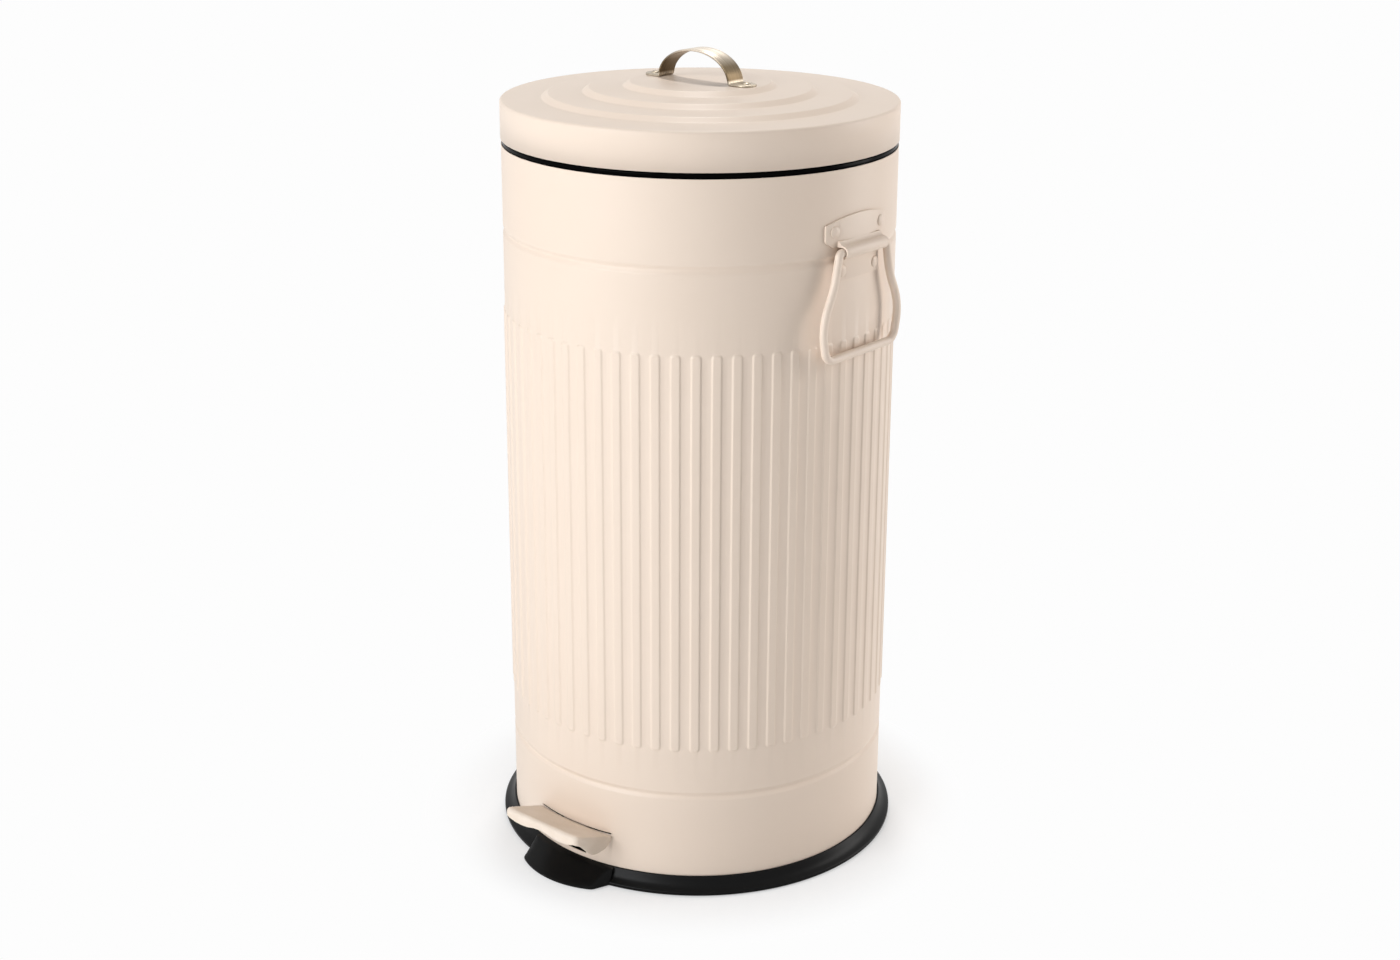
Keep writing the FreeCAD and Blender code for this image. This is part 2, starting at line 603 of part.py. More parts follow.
def lid_outline():
    """The lid's section from the skirt up over the three ring steps, and back along the inside."""
    run, rise = "step_run", "step_rise"
    outside = [("lid_radius", "lid_foot"), ("lid_radius", "lid_deck - lid_edge")]
    outside.append(("lid_radius - lid_edge", "lid_deck",
                    "lid_radius - lid_edge * (1 - cos(45))", "lid_deck - lid_edge * (1 - cos(45))"))
    height = "lid_deck"
    under = []
    for number in range(3):
        foot = f"(step_first - {number} * step_pitch)"
        height = f"{height} + lid_slope"
        outside.append((foot, height))
        under.append((foot, f"{height} - lid_gauge"))
        outside.append((f"{foot} - {run} / 2", f"{height} + {rise} / 2",
                        f"{foot} - {run} * 0.3", f"{height} + {rise} * 0.19"))
        height_over = f"{height} + {rise}"
        outside.append((f"{foot} - {run}", height_over,
                        f"{foot} - {run} * 0.7", f"{height} + {rise} * 0.81"))
        under.append((f"{foot} - {run}", f"{height_over} - lid_gauge"))
        height = height_over
    outside.append(("0", height))
    under = [("lid_radius - lid_gauge", "lid_foot"),
             ("lid_radius - lid_gauge", "lid_deck - lid_edge"),
             ("lid_radius - lid_edge", "lid_deck - lid_gauge")] + under
    under.append(("0", f"{height} - lid_gauge"))
    return outside + under[::-1]


LID_TOP = "(lid_deck + 3 * lid_slope + 3 * step_rise)"
lid_sheet = turned("lid_sheet", lid_outline())
strap_spots = [(FreeCAD.Vector(side * value("strap_rivet"), 0, value(f"{LID_TOP} + strap_gauge")),
                FreeCAD.Vector(0, 0, 1)) for side in (-1, 1)]
LEAF_FACE = "(lid_radius + 0.1 + plate_gauge)"
leaf_spots = [(FreeCAD.Vector(side * value("leaf_half") * 0.55, value(LEAF_FACE), value("lid_foot + 12")),
               FreeCAD.Vector(0, 1, 0)) for side in (-1, 1)]
lid_shell = cut("lid_shell", lid_sheet, drills("lid_drills", strap_spots + leaf_spots, 4))

STRAP_FOOT = f"({LID_TOP} + strap_gauge)"


def arch(reach, rise, foot):
    """The upper half of an ellipse as four arcs, from right to left."""
    corners = []
    for start in (0, 45, 90, 135):
        end, middle = start + 45, start + 22.5
        corners.append((f"({reach}) * cos({end})", f"{foot} + ({rise}) * sin({end})",
                        f"({reach}) * cos({middle})", f"{foot} + ({rise}) * sin({middle})"))
    return corners


outer_arch = arch("strap_reach", "strap_rise - strap_gauge", STRAP_FOOT)
inner_arch = arch("strap_reach - strap_gauge", "strap_rise - 2 * strap_gauge", STRAP_FOOT)
backwards = []
for number, corner in enumerate(reversed(inner_arch)):
    previous = inner_arch[len(inner_arch) - 2 - number] if number < 3 else None
    end = previous[:2] if previous else ("strap_reach - strap_gauge", STRAP_FOOT)
    backwards.append(end + corner[2:])
strap_side = slab("strap_side", "XZ", [
    ("strap_tab", LID_TOP),
    ("strap_tab", STRAP_FOOT),
    ("strap_reach", STRAP_FOOT),
    *outer_arch,
    ("-strap_tab", STRAP_FOOT),
    ("-strap_tab", LID_TOP),
    ("-(strap_reach - strap_gauge)", LID_TOP),
    ("-(strap_reach - strap_gauge)", STRAP_FOOT),
    *backwards,
    ("strap_reach - strap_gauge", LID_TOP),
], "strap_half")
strap_plan = extrude("strap_plan", "XY", [
    ("strap_tab - strap_half", "strap_half", "strap_tab", "0"),
    ("-(strap_tab - strap_half)", "strap_half"),
    ("-(strap_tab - strap_half)", "-strap_half", "-strap_tab", "0"),
    ("strap_tab - strap_half", "-strap_half"),
], "lid_deck", "60")
lid_handle = cut("lid_handle", common("strap_form", strap_side, strap_plan),
                 drills("strap_drills", strap_spots, 4))
lid_handle_rivets = rivets("lid_handle_rivets", strap_spots, value("strap_gauge + lid_gauge"))

# Hinge --------------------------------------------------------------------------------------------

leaf_barrel = cylinder("leaf_barrel", "knuckle", "2 * leaf_half", along="X",
                       x="-leaf_half", y=HINGE_BACK, z=HINGE_UP)
leaf_plate = slab("leaf_plate", "YZ", [
    (f"{HINGE_BACK} - 1", f"{HINGE_UP} + knuckle - 1.4"),
    (f"{HINGE_BACK} + 2.5", f"{HINGE_UP} + knuckle - 1"),
    (LEAF_FACE, "lid_foot + 2"),
    (LEAF_FACE, "lid_foot + 19"),
    (f"{LEAF_FACE} - plate_gauge", "lid_foot + 19"),
    (f"{LEAF_FACE} - plate_gauge", "lid_foot + 1"),
], "leaf_half")
ARM_BACK = f"({HINGE_BACK} - arm_radius * cos(arm_angle))"
ARM_UP = f"({HINGE_UP} - arm_radius * sin(arm_angle))"
ARM_SIDE_BACK = "knuckle * sin(arm_angle)"
ARM_SIDE_UP = "knuckle * cos(arm_angle)"
arm_plate = slab("arm_plate", "YZ", [
    (f"{HINGE_BACK} - {ARM_SIDE_BACK}", f"{HINGE_UP} + {ARM_SIDE_UP}"),
    (f"{ARM_BACK} - {ARM_SIDE_BACK}", f"{ARM_UP} + {ARM_SIDE_UP}"),
    (f"{ARM_BACK} + {ARM_SIDE_BACK}", f"{ARM_UP} - {ARM_SIDE_UP}",
     f"{ARM_BACK} - {ARM_SIDE_UP}", f"{ARM_UP} - {ARM_SIDE_BACK}"),
    (f"{HINGE_BACK} + {ARM_SIDE_BACK}", f"{HINGE_UP} - {ARM_SIDE_UP}"),
], "arm_gauge / 2")
leaf_bore = cylinder("leaf_bore", "pin_radius + rod_play", "2 * bracket_half", along="X",
                     x="-bracket_half", y=HINGE_BACK, z=HINGE_UP)
arm_eye = cylinder("arm_eye", "pin_radius + rod_play", "2 * knuckle", along="X",
                   x="-knuckle", y=ARM_BACK, z=ARM_UP)
lid_hinge_arm = cut("lid_hinge_arm", fuse("hinge_arm_solid", leaf_barrel, leaf_plate, arm_plate),
                    leaf_bore, arm_eye, drills("leaf_drills", leaf_spots, 4))
lid_arm_rivets = rivets("lid_arm_rivets", leaf_spots, value("plate_gauge + 0.1 + lid_gauge + 0.5"))


def curved_sheet(label, facing_outline):
    """Sheet steel bent to the drum, cut to an outline that is drawn flat and pushed through it."""
    outside = cylinder(f"{label}_outside", PLATE_FACE, "drum_rim + 40")
    inside = cylinder(f"{label}_inside", "drum_radius + plate_gap", "drum_rim + 40")
    return common(f"{label}_flange", cut(f"{label}_tube", outside, inside), facing_outline)


bracket_outline = extrude("bracket_outline", "XZ", [
    ("-bracket_half", f"{BRACKET_HEAD} - bracket_tall"),
    ("bracket_half", f"{BRACKET_HEAD} - bracket_tall"),
    ("bracket_half", BRACKET_HEAD),
    ("-bracket_half", BRACKET_HEAD),
], "-drum_radius - 20", "40")
bracket_parts = [curved_sheet("bracket", bracket_outline)]
KNUCKLE_IN = "(leaf_half + 0.5)"
for side, start in (("right", KNUCKLE_IN), ("left", "-bracket_half")):
    long = f"bracket_half - {KNUCKLE_IN}"
    bracket_parts.append(cylinder(f"bracket_knuckle_{side}", "knuckle", long, along="X",
                                  x=start, y=HINGE_BACK, z=HINGE_UP))
    bracket_parts.append(extrude(f"bracket_ear_{side}", "YZ", [
        (f"{HINGE_BACK} + knuckle * 0.95", f"{HINGE_UP} - 1"),
        (f"{HINGE_BACK} - knuckle * 0.7", f"{HINGE_UP} + 1"),
        ("drum_radius + plate_gap", f"{HINGE_UP} - 8"),
        ("drum_radius + plate_gap", f"{BRACKET_HEAD} - 2"),
        ("drum_radius + plate_gap + 2", f"{BRACKET_HEAD} - 2"),
    ], start, long))
bracket_bore = cylinder("bracket_bore", "pin_radius + 0.02", "2 * bracket_half + 2", along="X",
                        x="-bracket_half - 1", y=HINGE_BACK, z=HINGE_UP)
hinge_bracket = cut("hinge_bracket", fuse("bracket_solid", *bracket_parts),
                    bracket_bore, drills("bracket_drills", bracket_rivets, 4))
hinge_rivets = rivets("hinge_rivets", bracket_rivets, value("plate_gauge + plate_gap + gauge"))
PIN_END = "(bracket_half + 0.3)"
pin_shank = cylinder("pin_shank", "pin_radius", f"2 * {PIN_END}", along="X",
                     x=f"-{PIN_END}", y=HINGE_BACK, z=HINGE_UP)
pin_heads = [cylinder(f"pin_head_{side}", "pin_radius + 1.2", "1.5", along="X",
                      x=start, y=HINGE_BACK, z=HINGE_UP)
             for side, start in (("right", PIN_END), ("left", f"-{PIN_END} - 1.5"))]
hinge_pin = fuse("hinge_pin", pin_shank, *pin_heads)

# Push rod -----------------------------------------------------------------------------------------

SWING = "asin(arm_radius * sin(arm_angle) / lever_tail)"
TAIL_BACK = f"(lever_tail * cos({SWING}) - lever_pivot_back)"
TAIL_UP = f"(lever_pivot_up - lever_tail * sin({SWING}))"
HOOK_END = "(arm_gauge / 2 + 4)"


def rod_point(x, z):
    return FreeCAD.Vector(value(x), value(ARM_BACK), value(z))


push_rod = made("push_rod", bent_wire(
    [rod_point(f"-{HOOK_END}", ARM_UP), rod_point("rod_side", ARM_UP),
     rod_point("rod_side", TAIL_UP), rod_point(f"-{HOOK_END}", TAIL_UP)],
    [5, 5], value("pin_radius")))
caps = []
for end, height in (("top", ARM_UP), ("bottom", TAIL_UP)):
    disc = cylinder(f"cap_disc_{end}", "pin_radius + 1.8", "1.2", along="X",
                    x=f"-{HOOK_END} + 0.5", y=ARM_BACK, z=height)
    eye = cylinder(f"cap_eye_{end}", "pin_radius", "1.2", along="X",
                   x=f"-{HOOK_END} + 0.5", y=ARM_BACK, z=height)
    caps.append(cut(f"cap_{end}", disc, eye))
rod_caps = group("rod_caps", caps)

# The guide is a fork on the wall: it keeps the rod upright and lets it sway with the lid arm.
GUIDE_BACK = "(drum_radius - gauge - 1.2)"
guide_shelf = slab("guide_shelf", "XY", [
    ("rod_side - guide_half", "bucket_top + 1.5"),
    ("rod_side + guide_half", "bucket_top + 1.5"),
    ("rod_side + guide_half", GUIDE_BACK),
    ("rod_side - guide_half", GUIDE_BACK),
], "guide_gauge / 2")
place(guide_shelf.Base, z=GUIDE_HEIGHT)
guide_tab = block("guide_tab", "2 * guide_half", "guide_gauge", "15", x="rod_side - guide_half",
                  y=f"{GUIDE_BACK} - guide_gauge", z=f"{GUIDE_HEIGHT} - guide_gauge / 2")
guide_slot = slab("guide_slot", "XY", [
    ("rod_side - pin_radius - 1", "bucket_top - 5"),
    ("rod_side + pin_radius + 1", "bucket_top - 5"),
    ("rod_side + pin_radius + 1", ARM_BACK),
    ("rod_side - pin_radius - 1", ARM_BACK, "rod_side", f"{ARM_BACK} + pin_radius + 1"),
], "5")
place(guide_slot.Base, z=GUIDE_HEIGHT)
rod_guide = cut("rod_guide", fuse("guide_solid", guide_shelf, guide_tab), guide_slot,
                drills("guide_drills", guide_rivets, 5))
rod_guide_rivets = rivets("rod_guide_rivets", guide_rivets, value("gauge + 2.7"))

# Pedal --------------------------------------------------------------------------------------------

PAD_SLOPE = "((pad_high - pad_low) / (pad_front - pad_back))"
PAD_UNDER = "pad_gauge * 1.05"
SEAT_FRONT = "(pad_front - 11)"
SEAT_FRONT_UP = f"(pad_low - {PAD_UNDER} + ({SEAT_FRONT} - pad_back) * {PAD_SLOPE})"
SEAT_BACK = "(pad_back + 4)"
SEAT_BACK_UP = f"(pad_low - {PAD_UNDER} + ({SEAT_BACK} - pad_back) * {PAD_SLOPE})"
WEB_UP = "(lever_pivot_up + pivot_radius + 1.5)"
TAIL_WEB = f"({TAIL_BACK} - 22)"
TAIL_WEB_UP = f"({TAIL_UP} + 4)"
lever_web = slab("lever_web", "YZ", [
    (f"-{SEAT_FRONT}", SEAT_FRONT_UP),
    (f"-{SEAT_BACK}", SEAT_BACK_UP),
    ("-(pad_back - 0.5)", f"{WEB_UP} + lever_gauge"),
    ("-(lever_pivot_back - 12)", f"{WEB_UP} + lever_gauge"),
    (TAIL_WEB, f"{TAIL_WEB_UP} + lever_gauge"),
    (TAIL_WEB, TAIL_WEB_UP),
    ("-(lever_pivot_back - 12)", WEB_UP),
    ("-(pad_back - 0.5)", WEB_UP),
    (f"-{SEAT_BACK}", f"{SEAT_BACK_UP} - lever_gauge"),
    (f"-{SEAT_FRONT}", f"{SEAT_FRONT_UP} - lever_gauge"),
], "lever_half")
lever_sides = slab("lever_sides", "YZ", [
    ("-(lever_pivot_back + 45)", WEB_UP),
    ("-(lever_pivot_back - 12)", WEB_UP),
    (TAIL_WEB, TAIL_WEB_UP),
    (TAIL_WEB, f"{TAIL_WEB_UP} - lever_fold"),
    ("-(lever_pivot_back - 12)", f"{WEB_UP} - lever_fold - 1"),
    ("-(lever_pivot_back - 6)", "lever_pivot_up - 6"),
    ("-(lever_pivot_back + 6)", "lever_pivot_up - 6"),
    ("-(lever_pivot_back + 14)", f"{WEB_UP} - lever_fold"),
    ("-(lever_pivot_back + 40)", f"{WEB_UP} - lever_fold"),
], "lever_half")
lever_gap = slab("lever_gap", "YZ", [
    ("-(lever_pivot_back + 50)", WEB_UP),
    ("-(lever_pivot_back - 12)", WEB_UP),
    (f"{TAIL_WEB} + 5", f"{TAIL_WEB_UP} - 5 * ({WEB_UP} - {TAIL_WEB_UP}) / ({TAIL_WEB} + lever_pivot_back - 12)"),
    (f"{TAIL_WEB} + 5", "-20"),
    ("-(lever_pivot_back + 50)", "-20"),
], "lever_half - lever_gauge")
TAIL_EYE = "(pin_radius + 4)"
lever_ear = slab("lever_ear", "YZ", [
    (f"{TAIL_WEB} - 14", f"{TAIL_WEB_UP} + 4"),
    (f"{TAIL_WEB} - 14", f"{TAIL_WEB_UP} - 2"),
    (TAIL_WEB, f"{TAIL_UP} - {TAIL_EYE}"),
    (TAIL_BACK, f"{TAIL_UP} - {TAIL_EYE}"),
    (TAIL_BACK, f"{TAIL_UP} + {TAIL_EYE}", f"{TAIL_BACK} + {TAIL_EYE}", TAIL_UP),
    (TAIL_WEB, f"{TAIL_UP} + {TAIL_EYE}"),
], "arm_gauge / 2")
# The rod's hook sways by the arm's sagitta and lifts a little off the lever's arc, so its hole is a slot.
SLOT_HALF = "(pin_radius + 0.95)"
SLOT_FRONT = f"({ARM_BACK} - arm_radius * (1 - cos(arm_angle)) - 1)"
SLOT_BACK = f"({ARM_BACK} + 1)"
hook_slot = slab("hook_slot", "YZ", [
    (SLOT_FRONT, f"{TAIL_UP} + {SLOT_HALF}"),
    (SLOT_FRONT, f"{TAIL_UP} - {SLOT_HALF}", f"{SLOT_FRONT} - {SLOT_HALF}", TAIL_UP),
    (SLOT_BACK, f"{TAIL_UP} - {SLOT_HALF}"),
    (SLOT_BACK, f"{TAIL_UP} + {SLOT_HALF}", f"{SLOT_BACK} + {SLOT_HALF}", TAIL_UP),
], "5")
lever_bore = cylinder("lever_bore", "pivot_radius + rod_play", "4 * lever_half", along="X",
                      x="-2 * lever_half", y=PIVOT_BACK, z="lever_pivot_up")
SHOULDER = "(pad_front - 8)"
SHOULDER_UP = f"(pad_low + ({SHOULDER} - pad_back) * {PAD_SLOPE} + 0.5)"
TOP_SLOPE = f"(({SHOULDER_UP} - pad_low) / ({SHOULDER} - pad_back))"
pad_tilt = math.atan(value(TOP_SLOPE))
seat_middle = value("(pad_front + pad_back) / 2 - 4")
seat_height = value(f"pad_low + {TOP_SLOPE} * ((pad_front + pad_back) / 2 - 4 - pad_back)")
pad_up = FreeCAD.Vector(0, math.sin(pad_tilt), math.cos(pad_tilt))
pad_spots = [(FreeCAD.Vector(side * value("lever_half") * 0.5, -seat_middle, seat_height), pad_up)
             for side in (-1, 1)]
pad_drills = drills("pad_drills", pad_spots, 6)
lever_folded = cut("lever_folded", lever_sides, lever_gap)
pedal_lever = cut("pedal_lever", fuse("lever_solid", lever_web, lever_folded, lever_ear),
                  hook_slot, lever_bore, pad_drills)

LOBE_BACK = "(pad_back + 6.5)"
pad_form = slab("pad_form", "YZ", [
    ("-pad_back", "pad_low"),
    (f"-{SHOULDER}", SHOULDER_UP),
    ("-(pad_front - 2)", "pad_high"),
    ("-pad_front", "pad_high - 2", "-(pad_front - 0.6)", "pad_high - 0.6"),
    ("-pad_front", "pad_high - pad_lip"),
    ("-(pad_front - 7)", "pad_low + 2.6"),
    (f"-({LOBE_BACK} + 8)", "pad_lobe + 2.4"),
    ("-(pad_back + 0.6)", "pad_low - 3", f"-{LOBE_BACK}", "pad_lobe"),
], "pad_half")
pad_hollow = slab("pad_hollow", "YZ", [
    ("-(pad_back - 5)", f"pad_low - {PAD_UNDER} - 5 * {PAD_SLOPE}"),
    (f"-{SHOULDER}", f"{SHOULDER_UP} - pad_gauge"),
    ("-(pad_front - pad_gauge - 1)", "pad_high - pad_gauge"),
    ("-(pad_front - pad_gauge)", "pad_high - pad_gauge - 1"),
    ("-(pad_front - pad_gauge)", "pad_high - pad_lip - 30"),
    ("-(pad_back - 5)", "pad_high - pad_lip - 30"),
], "pad_half - pad_gauge")
pedal_pad = cut("pedal_pad", pad_form, pad_hollow, drills("pad_holes", pad_spots, 6))
PAD_GRIP = value("pad_gauge + lever_gauge + 0.5")
pedal_rivets = rivets("pedal_rivets", [(spot - pad_up * PAD_GRIP, pad_up * -1) for spot, up in pad_spots],
                      PAD_GRIP, flush=True)

# Carrying handles ---------------------------------------------------------------------------------

BAIL_X = "(drum_radius + bail_out)"
handle_flange = curved_sheet("handle", extrude("handle_outline", "YZ", [
    ("-plate_half", "bail_axis + plate_corner", "0", "bail_axis + plate_crown"),
    ("-plate_half", "bail_axis + plate_cheek"),
    ("-(plate_half - 2)", "bail_axis + plate_cheek - 3", "-(plate_half - 0.6)", "bail_axis + plate_cheek - 1.8"),
    ("-tab_half", "bail_axis + 2"),
    ("-tab_half", "bail_axis - tab_foot + tab_corner"),
    ("-(tab_half - tab_corner)", "bail_axis - tab_foot",
     "-(tab_half - 0.293 * tab_corner)", "bail_axis - tab_foot + 0.293 * tab_corner"),
    ("tab_half - tab_corner", "bail_axis - tab_foot"),
    ("tab_half", "bail_axis - tab_foot + tab_corner",
     "tab_half - 0.293 * tab_corner", "bail_axis - tab_foot + 0.293 * tab_corner"),
    ("tab_half", "bail_axis + 2"),
    ("plate_half - 2", "bail_axis + plate_cheek - 3"),
    ("plate_half", "bail_axis + plate_cheek", "plate_half - 0.6", "bail_axis + plate_cheek - 1.8"),
    ("plate_half", "bail_axis + plate_corner"),
], "drum_radius - 20", "40"))
CHANNEL_IN = "(bail_wire + 0.35)"
CHANNEL_OUT = "(bail_wire + 0.35 + plate_gauge)"
WALL_IN = "(drum_radius - 3)"
channel_form = slab("channel_form", "XZ", [
    (WALL_IN, f"bail_axis - {CHANNEL_OUT} - 1"),
    ("drum_radius + 1", f"bail_axis - {CHANNEL_OUT} - 1"),
    (BAIL_X, f"bail_axis - {CHANNEL_OUT}"),
    (BAIL_X, f"bail_axis + {CHANNEL_OUT}", f"{BAIL_X} + {CHANNEL_OUT}", "bail_axis"),
    ("drum_radius + 1.4", f"bail_axis + {CHANNEL_OUT} + 3",
     "drum_radius + 2.6", f"bail_axis + {CHANNEL_OUT} + 1"),
    (WALL_IN, f"bail_axis + {CHANNEL_OUT} + 3"),
], "channel_half")
channel_room = slab("channel_room", "XZ", [
    ("drum_radius - 20", f"bail_axis - {CHANNEL_IN}"),
    (BAIL_X, f"bail_axis - {CHANNEL_IN}"),
    (BAIL_X, f"bail_axis + {CHANNEL_IN}", f"{BAIL_X} + {CHANNEL_IN}", "bail_axis"),
    ("drum_radius - 20", f"bail_axis + {CHANNEL_IN}"),
], "2 * channel_half")
drum_clear = cylinder("drum_clear", "drum_radius + plate_gap", "drum_rim + 40")
handle_plate_right = cut("handle_plate_right", fuse("plate_solid", handle_flange, channel_form),
                         channel_room, drum_clear, drills("plate_drills", right_rivets, 3))
handle_plate_left = mirrored("handle_plate_left", handle_plate_right)
HANDLE_GRIP = value("plate_gauge + plate_gap + gauge")
handle_rivets_right = rivets("handle_rivets_right", right_rivets, HANDLE_GRIP)
handle_rivets_left = rivets("handle_rivets_left", left_rivets, HANDLE_GRIP)


def bail_point(y, z):
    return FreeCAD.Vector(value(BAIL_X), value(y), value(z))


bail_right = made("bail_right", bent_wire(
    [bail_point("0.3", "bail_axis"),
     bail_point("bail_neck", "bail_axis"),
     bail_point("bail_neck + bail_spread", "bail_axis - bail_shoulder"),
     bail_point("bail_belly", "bail_axis - bail_waist"),
     bail_point("bail_base", "bail_axis - bail_drop"),
     bail_point("-bail_base", "bail_axis - bail_drop"),
     bail_point("-bail_belly", "bail_axis - bail_waist"),
     bail_point("-(bail_neck + bail_spread)", "bail_axis - bail_shoulder"),
     bail_point("-bail_neck", "bail_axis"),
     bail_point("-0.3", "bail_axis")],
    [4, 60, 38, 9.5, 9.5, 38, 60, 4], value("bail_wire")))
bail_left = mirrored("bail_left", bail_right)

# Inner bucket -------------------------------------------------------------------------------------

RIM_UP = "(lid_foot - 2 + 0.1)"
bucket_turned = turned("bucket_turned", [
    ("bucket_base", "bucket_floor + 4"),
    ("bucket_top", f"{RIM_UP} - 6"),
    ("bucket_top + 1", RIM_UP),
    ("bucket_rim", RIM_UP),
    ("bucket_rim", f"{RIM_UP} + bucket_wall"),
    ("bucket_top - bucket_wall", f"{RIM_UP} + bucket_wall"),
    ("bucket_top - bucket_wall", f"{RIM_UP} - 6"),
    ("bucket_base - bucket_wall", "bucket_floor + 4"),
    ("bucket_base - bucket_wall - 2", "bucket_floor + bucket_wall"),
    ("0", "bucket_floor + bucket_wall"),
    ("0", "bucket_floor"),
    ("bucket_base - 4", "bucket_floor"),
])
rim_notch = block("rim_notch", "34", "40", "30", x="-15", y="bucket_top + 1.2", z=f"{RIM_UP} - 5")
ear_holes = []
ears = []
EAR_X = "(bucket_rim - 6)"
EAR_UP = f"({RIM_UP} + bucket_wall + 5)"
for side, start in (("right", EAR_X), ("left", f"-{EAR_X} - 3")):
    ears.append(block(f"ear_web_{side}", "3", "12", "6", x=start, y="-6", z=f"{RIM_UP} + 1"))
    ears.append(cylinder(f"ear_eye_{side}", "6", "3", along="X", x=start, z=EAR_UP))
    ear_holes.append(cylinder(f"ear_hole_{side}", "bucket_wire + 0.1", "20", along="X",
                              x=f"{start} - 8", z=EAR_UP))
inner_bucket = cut("inner_bucket", fuse("bucket_solid", bucket_turned, *ears), rim_notch, *ear_holes)


def wire_point(x, y):
    return FreeCAD.Vector(value(x), value(y), value(EAR_UP))


HOOP = "(bucket_rim - 13)"
hoop_points = [wire_point(f"{HOOP} * cos({turn})", f"-{HOOP} * sin({turn}) - 12") for turn in range(10, 171, 20)]
bucket_bail = made("bucket_bail", bent_wire(
    [wire_point("bucket_rim - 2", "0"), wire_point(HOOP, "0"), *hoop_points,
     wire_point(f"-{HOOP}", "0"), wire_point("-(bucket_rim - 2)", "0")],
    [5, 14] + [60] * (len(hoop_points) - 2) + [14, 5], value("bucket_wire")))

# Check and write ----------------------------------------------------------------------------------

PIECES = [
    outer_shell, base, pivot_pin, pivot_clips, rubber_feet, top_collar, lid_shell, lid_handle,
    lid_handle_rivets, lid_hinge_arm, lid_arm_rivets, hinge_bracket, hinge_rivets, hinge_pin,
    push_rod, rod_caps, rod_guide, rod_guide_rivets, pedal_lever, pedal_pad, pedal_rivets,
    handle_plate_right, handle_plate_left, handle_rivets_right, handle_rivets_left,
    bail_right, bail_left, inner_bucket, bucket_bail,
]

doc.recompute()
broken = [item.Label for item in doc.Objects if {"Invalid", "Error"} & set(item.State)]
if broken:
    raise RuntimeError(f"these did not build: {broken}")
os.makedirs("parts", exist_ok=True)
for piece in PIECES:
    shape = piece.Shape
    if shape.isNull() or not shape.isValid() or not shape.Solids:
        raise RuntimeError(f"{piece.Label} is not a valid solid")
    print(f"{piece.Label:22s} {len(shape.Solids):3d} solids {shape.Volume:12.1f} mm3")
    shape.exportStep(f"parts/{piece.Label}.step")
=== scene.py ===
# %% [markdown]
# # A steel pedal bin, dressed for its portrait
# The bin is a drum of thin sheet steel with pressed ribs, a lid with three ring steps, a strap handle,
# two wire carrying handles, a black moulded base and a pedal. The measured model comes in first, and each
# piece below is made in the same frame: +Z is up and the origin is on the floor, on the drum's axis.

# %% Load the measured model
import math

import bmesh
import bpy
import numpy as np
from mathutils import Matrix, Vector


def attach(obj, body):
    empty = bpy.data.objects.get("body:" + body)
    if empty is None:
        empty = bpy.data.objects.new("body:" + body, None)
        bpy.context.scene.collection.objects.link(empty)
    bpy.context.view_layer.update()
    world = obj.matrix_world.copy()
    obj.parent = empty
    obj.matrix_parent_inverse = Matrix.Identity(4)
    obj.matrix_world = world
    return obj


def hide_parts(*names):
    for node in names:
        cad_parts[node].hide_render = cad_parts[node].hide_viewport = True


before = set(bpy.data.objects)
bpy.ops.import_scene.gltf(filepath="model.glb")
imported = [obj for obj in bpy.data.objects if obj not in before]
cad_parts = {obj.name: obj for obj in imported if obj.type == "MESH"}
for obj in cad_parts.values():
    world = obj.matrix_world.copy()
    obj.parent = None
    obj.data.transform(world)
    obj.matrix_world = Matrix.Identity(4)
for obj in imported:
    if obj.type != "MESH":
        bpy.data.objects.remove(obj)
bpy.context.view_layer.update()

# %% [markdown]
# ## Small tools
# All sizes below are in millimetres, because that is how such a bin is drawn, and one function turns them
# into Blender's metres as it makes the mesh. Each mesh is welded, its normals are made to point outward,
# and only edges sharper than the given angle stay hard.

# %% Mesh helper
MM = 0.001


def piece(name, points, faces, body, stands_for, finish, hard=40):
    """One visible piece from points in millimetres, riding on a body and standing for the named nodes."""
    mesh = bpy.data.meshes.new(name)
    mesh.from_pydata([tuple(float(c) * MM for c in point) for point in points], [], faces)
    welded = bmesh.new()
    welded.from_mesh(mesh)
    bmesh.ops.remove_doubles(welded, verts=welded.verts, dist=1e-6)
    bmesh.ops.recalc_face_normals(welded, faces=welded.faces)
    welded.to_mesh(mesh)
    welded.free()
    mesh.shade_smooth()
    mesh.set_sharp_from_angle(angle=math.radians(hard))
    mesh.materials.append(finish)
    thing = bpy.data.objects.new(name, mesh)
    bpy.context.scene.collection.objects.link(thing)
    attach(thing, body)
    if stands_for:
        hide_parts(*stands_for)
    print(f"{name}: {len(mesh.polygons)} faces")
    return thing


# %% [markdown]
# Sheet metal never has a knife-sharp corner, so outlines are given as corners with a radius each. The same
# function rounds a flat outline and a path in space, because it only needs the two directions at a corner.

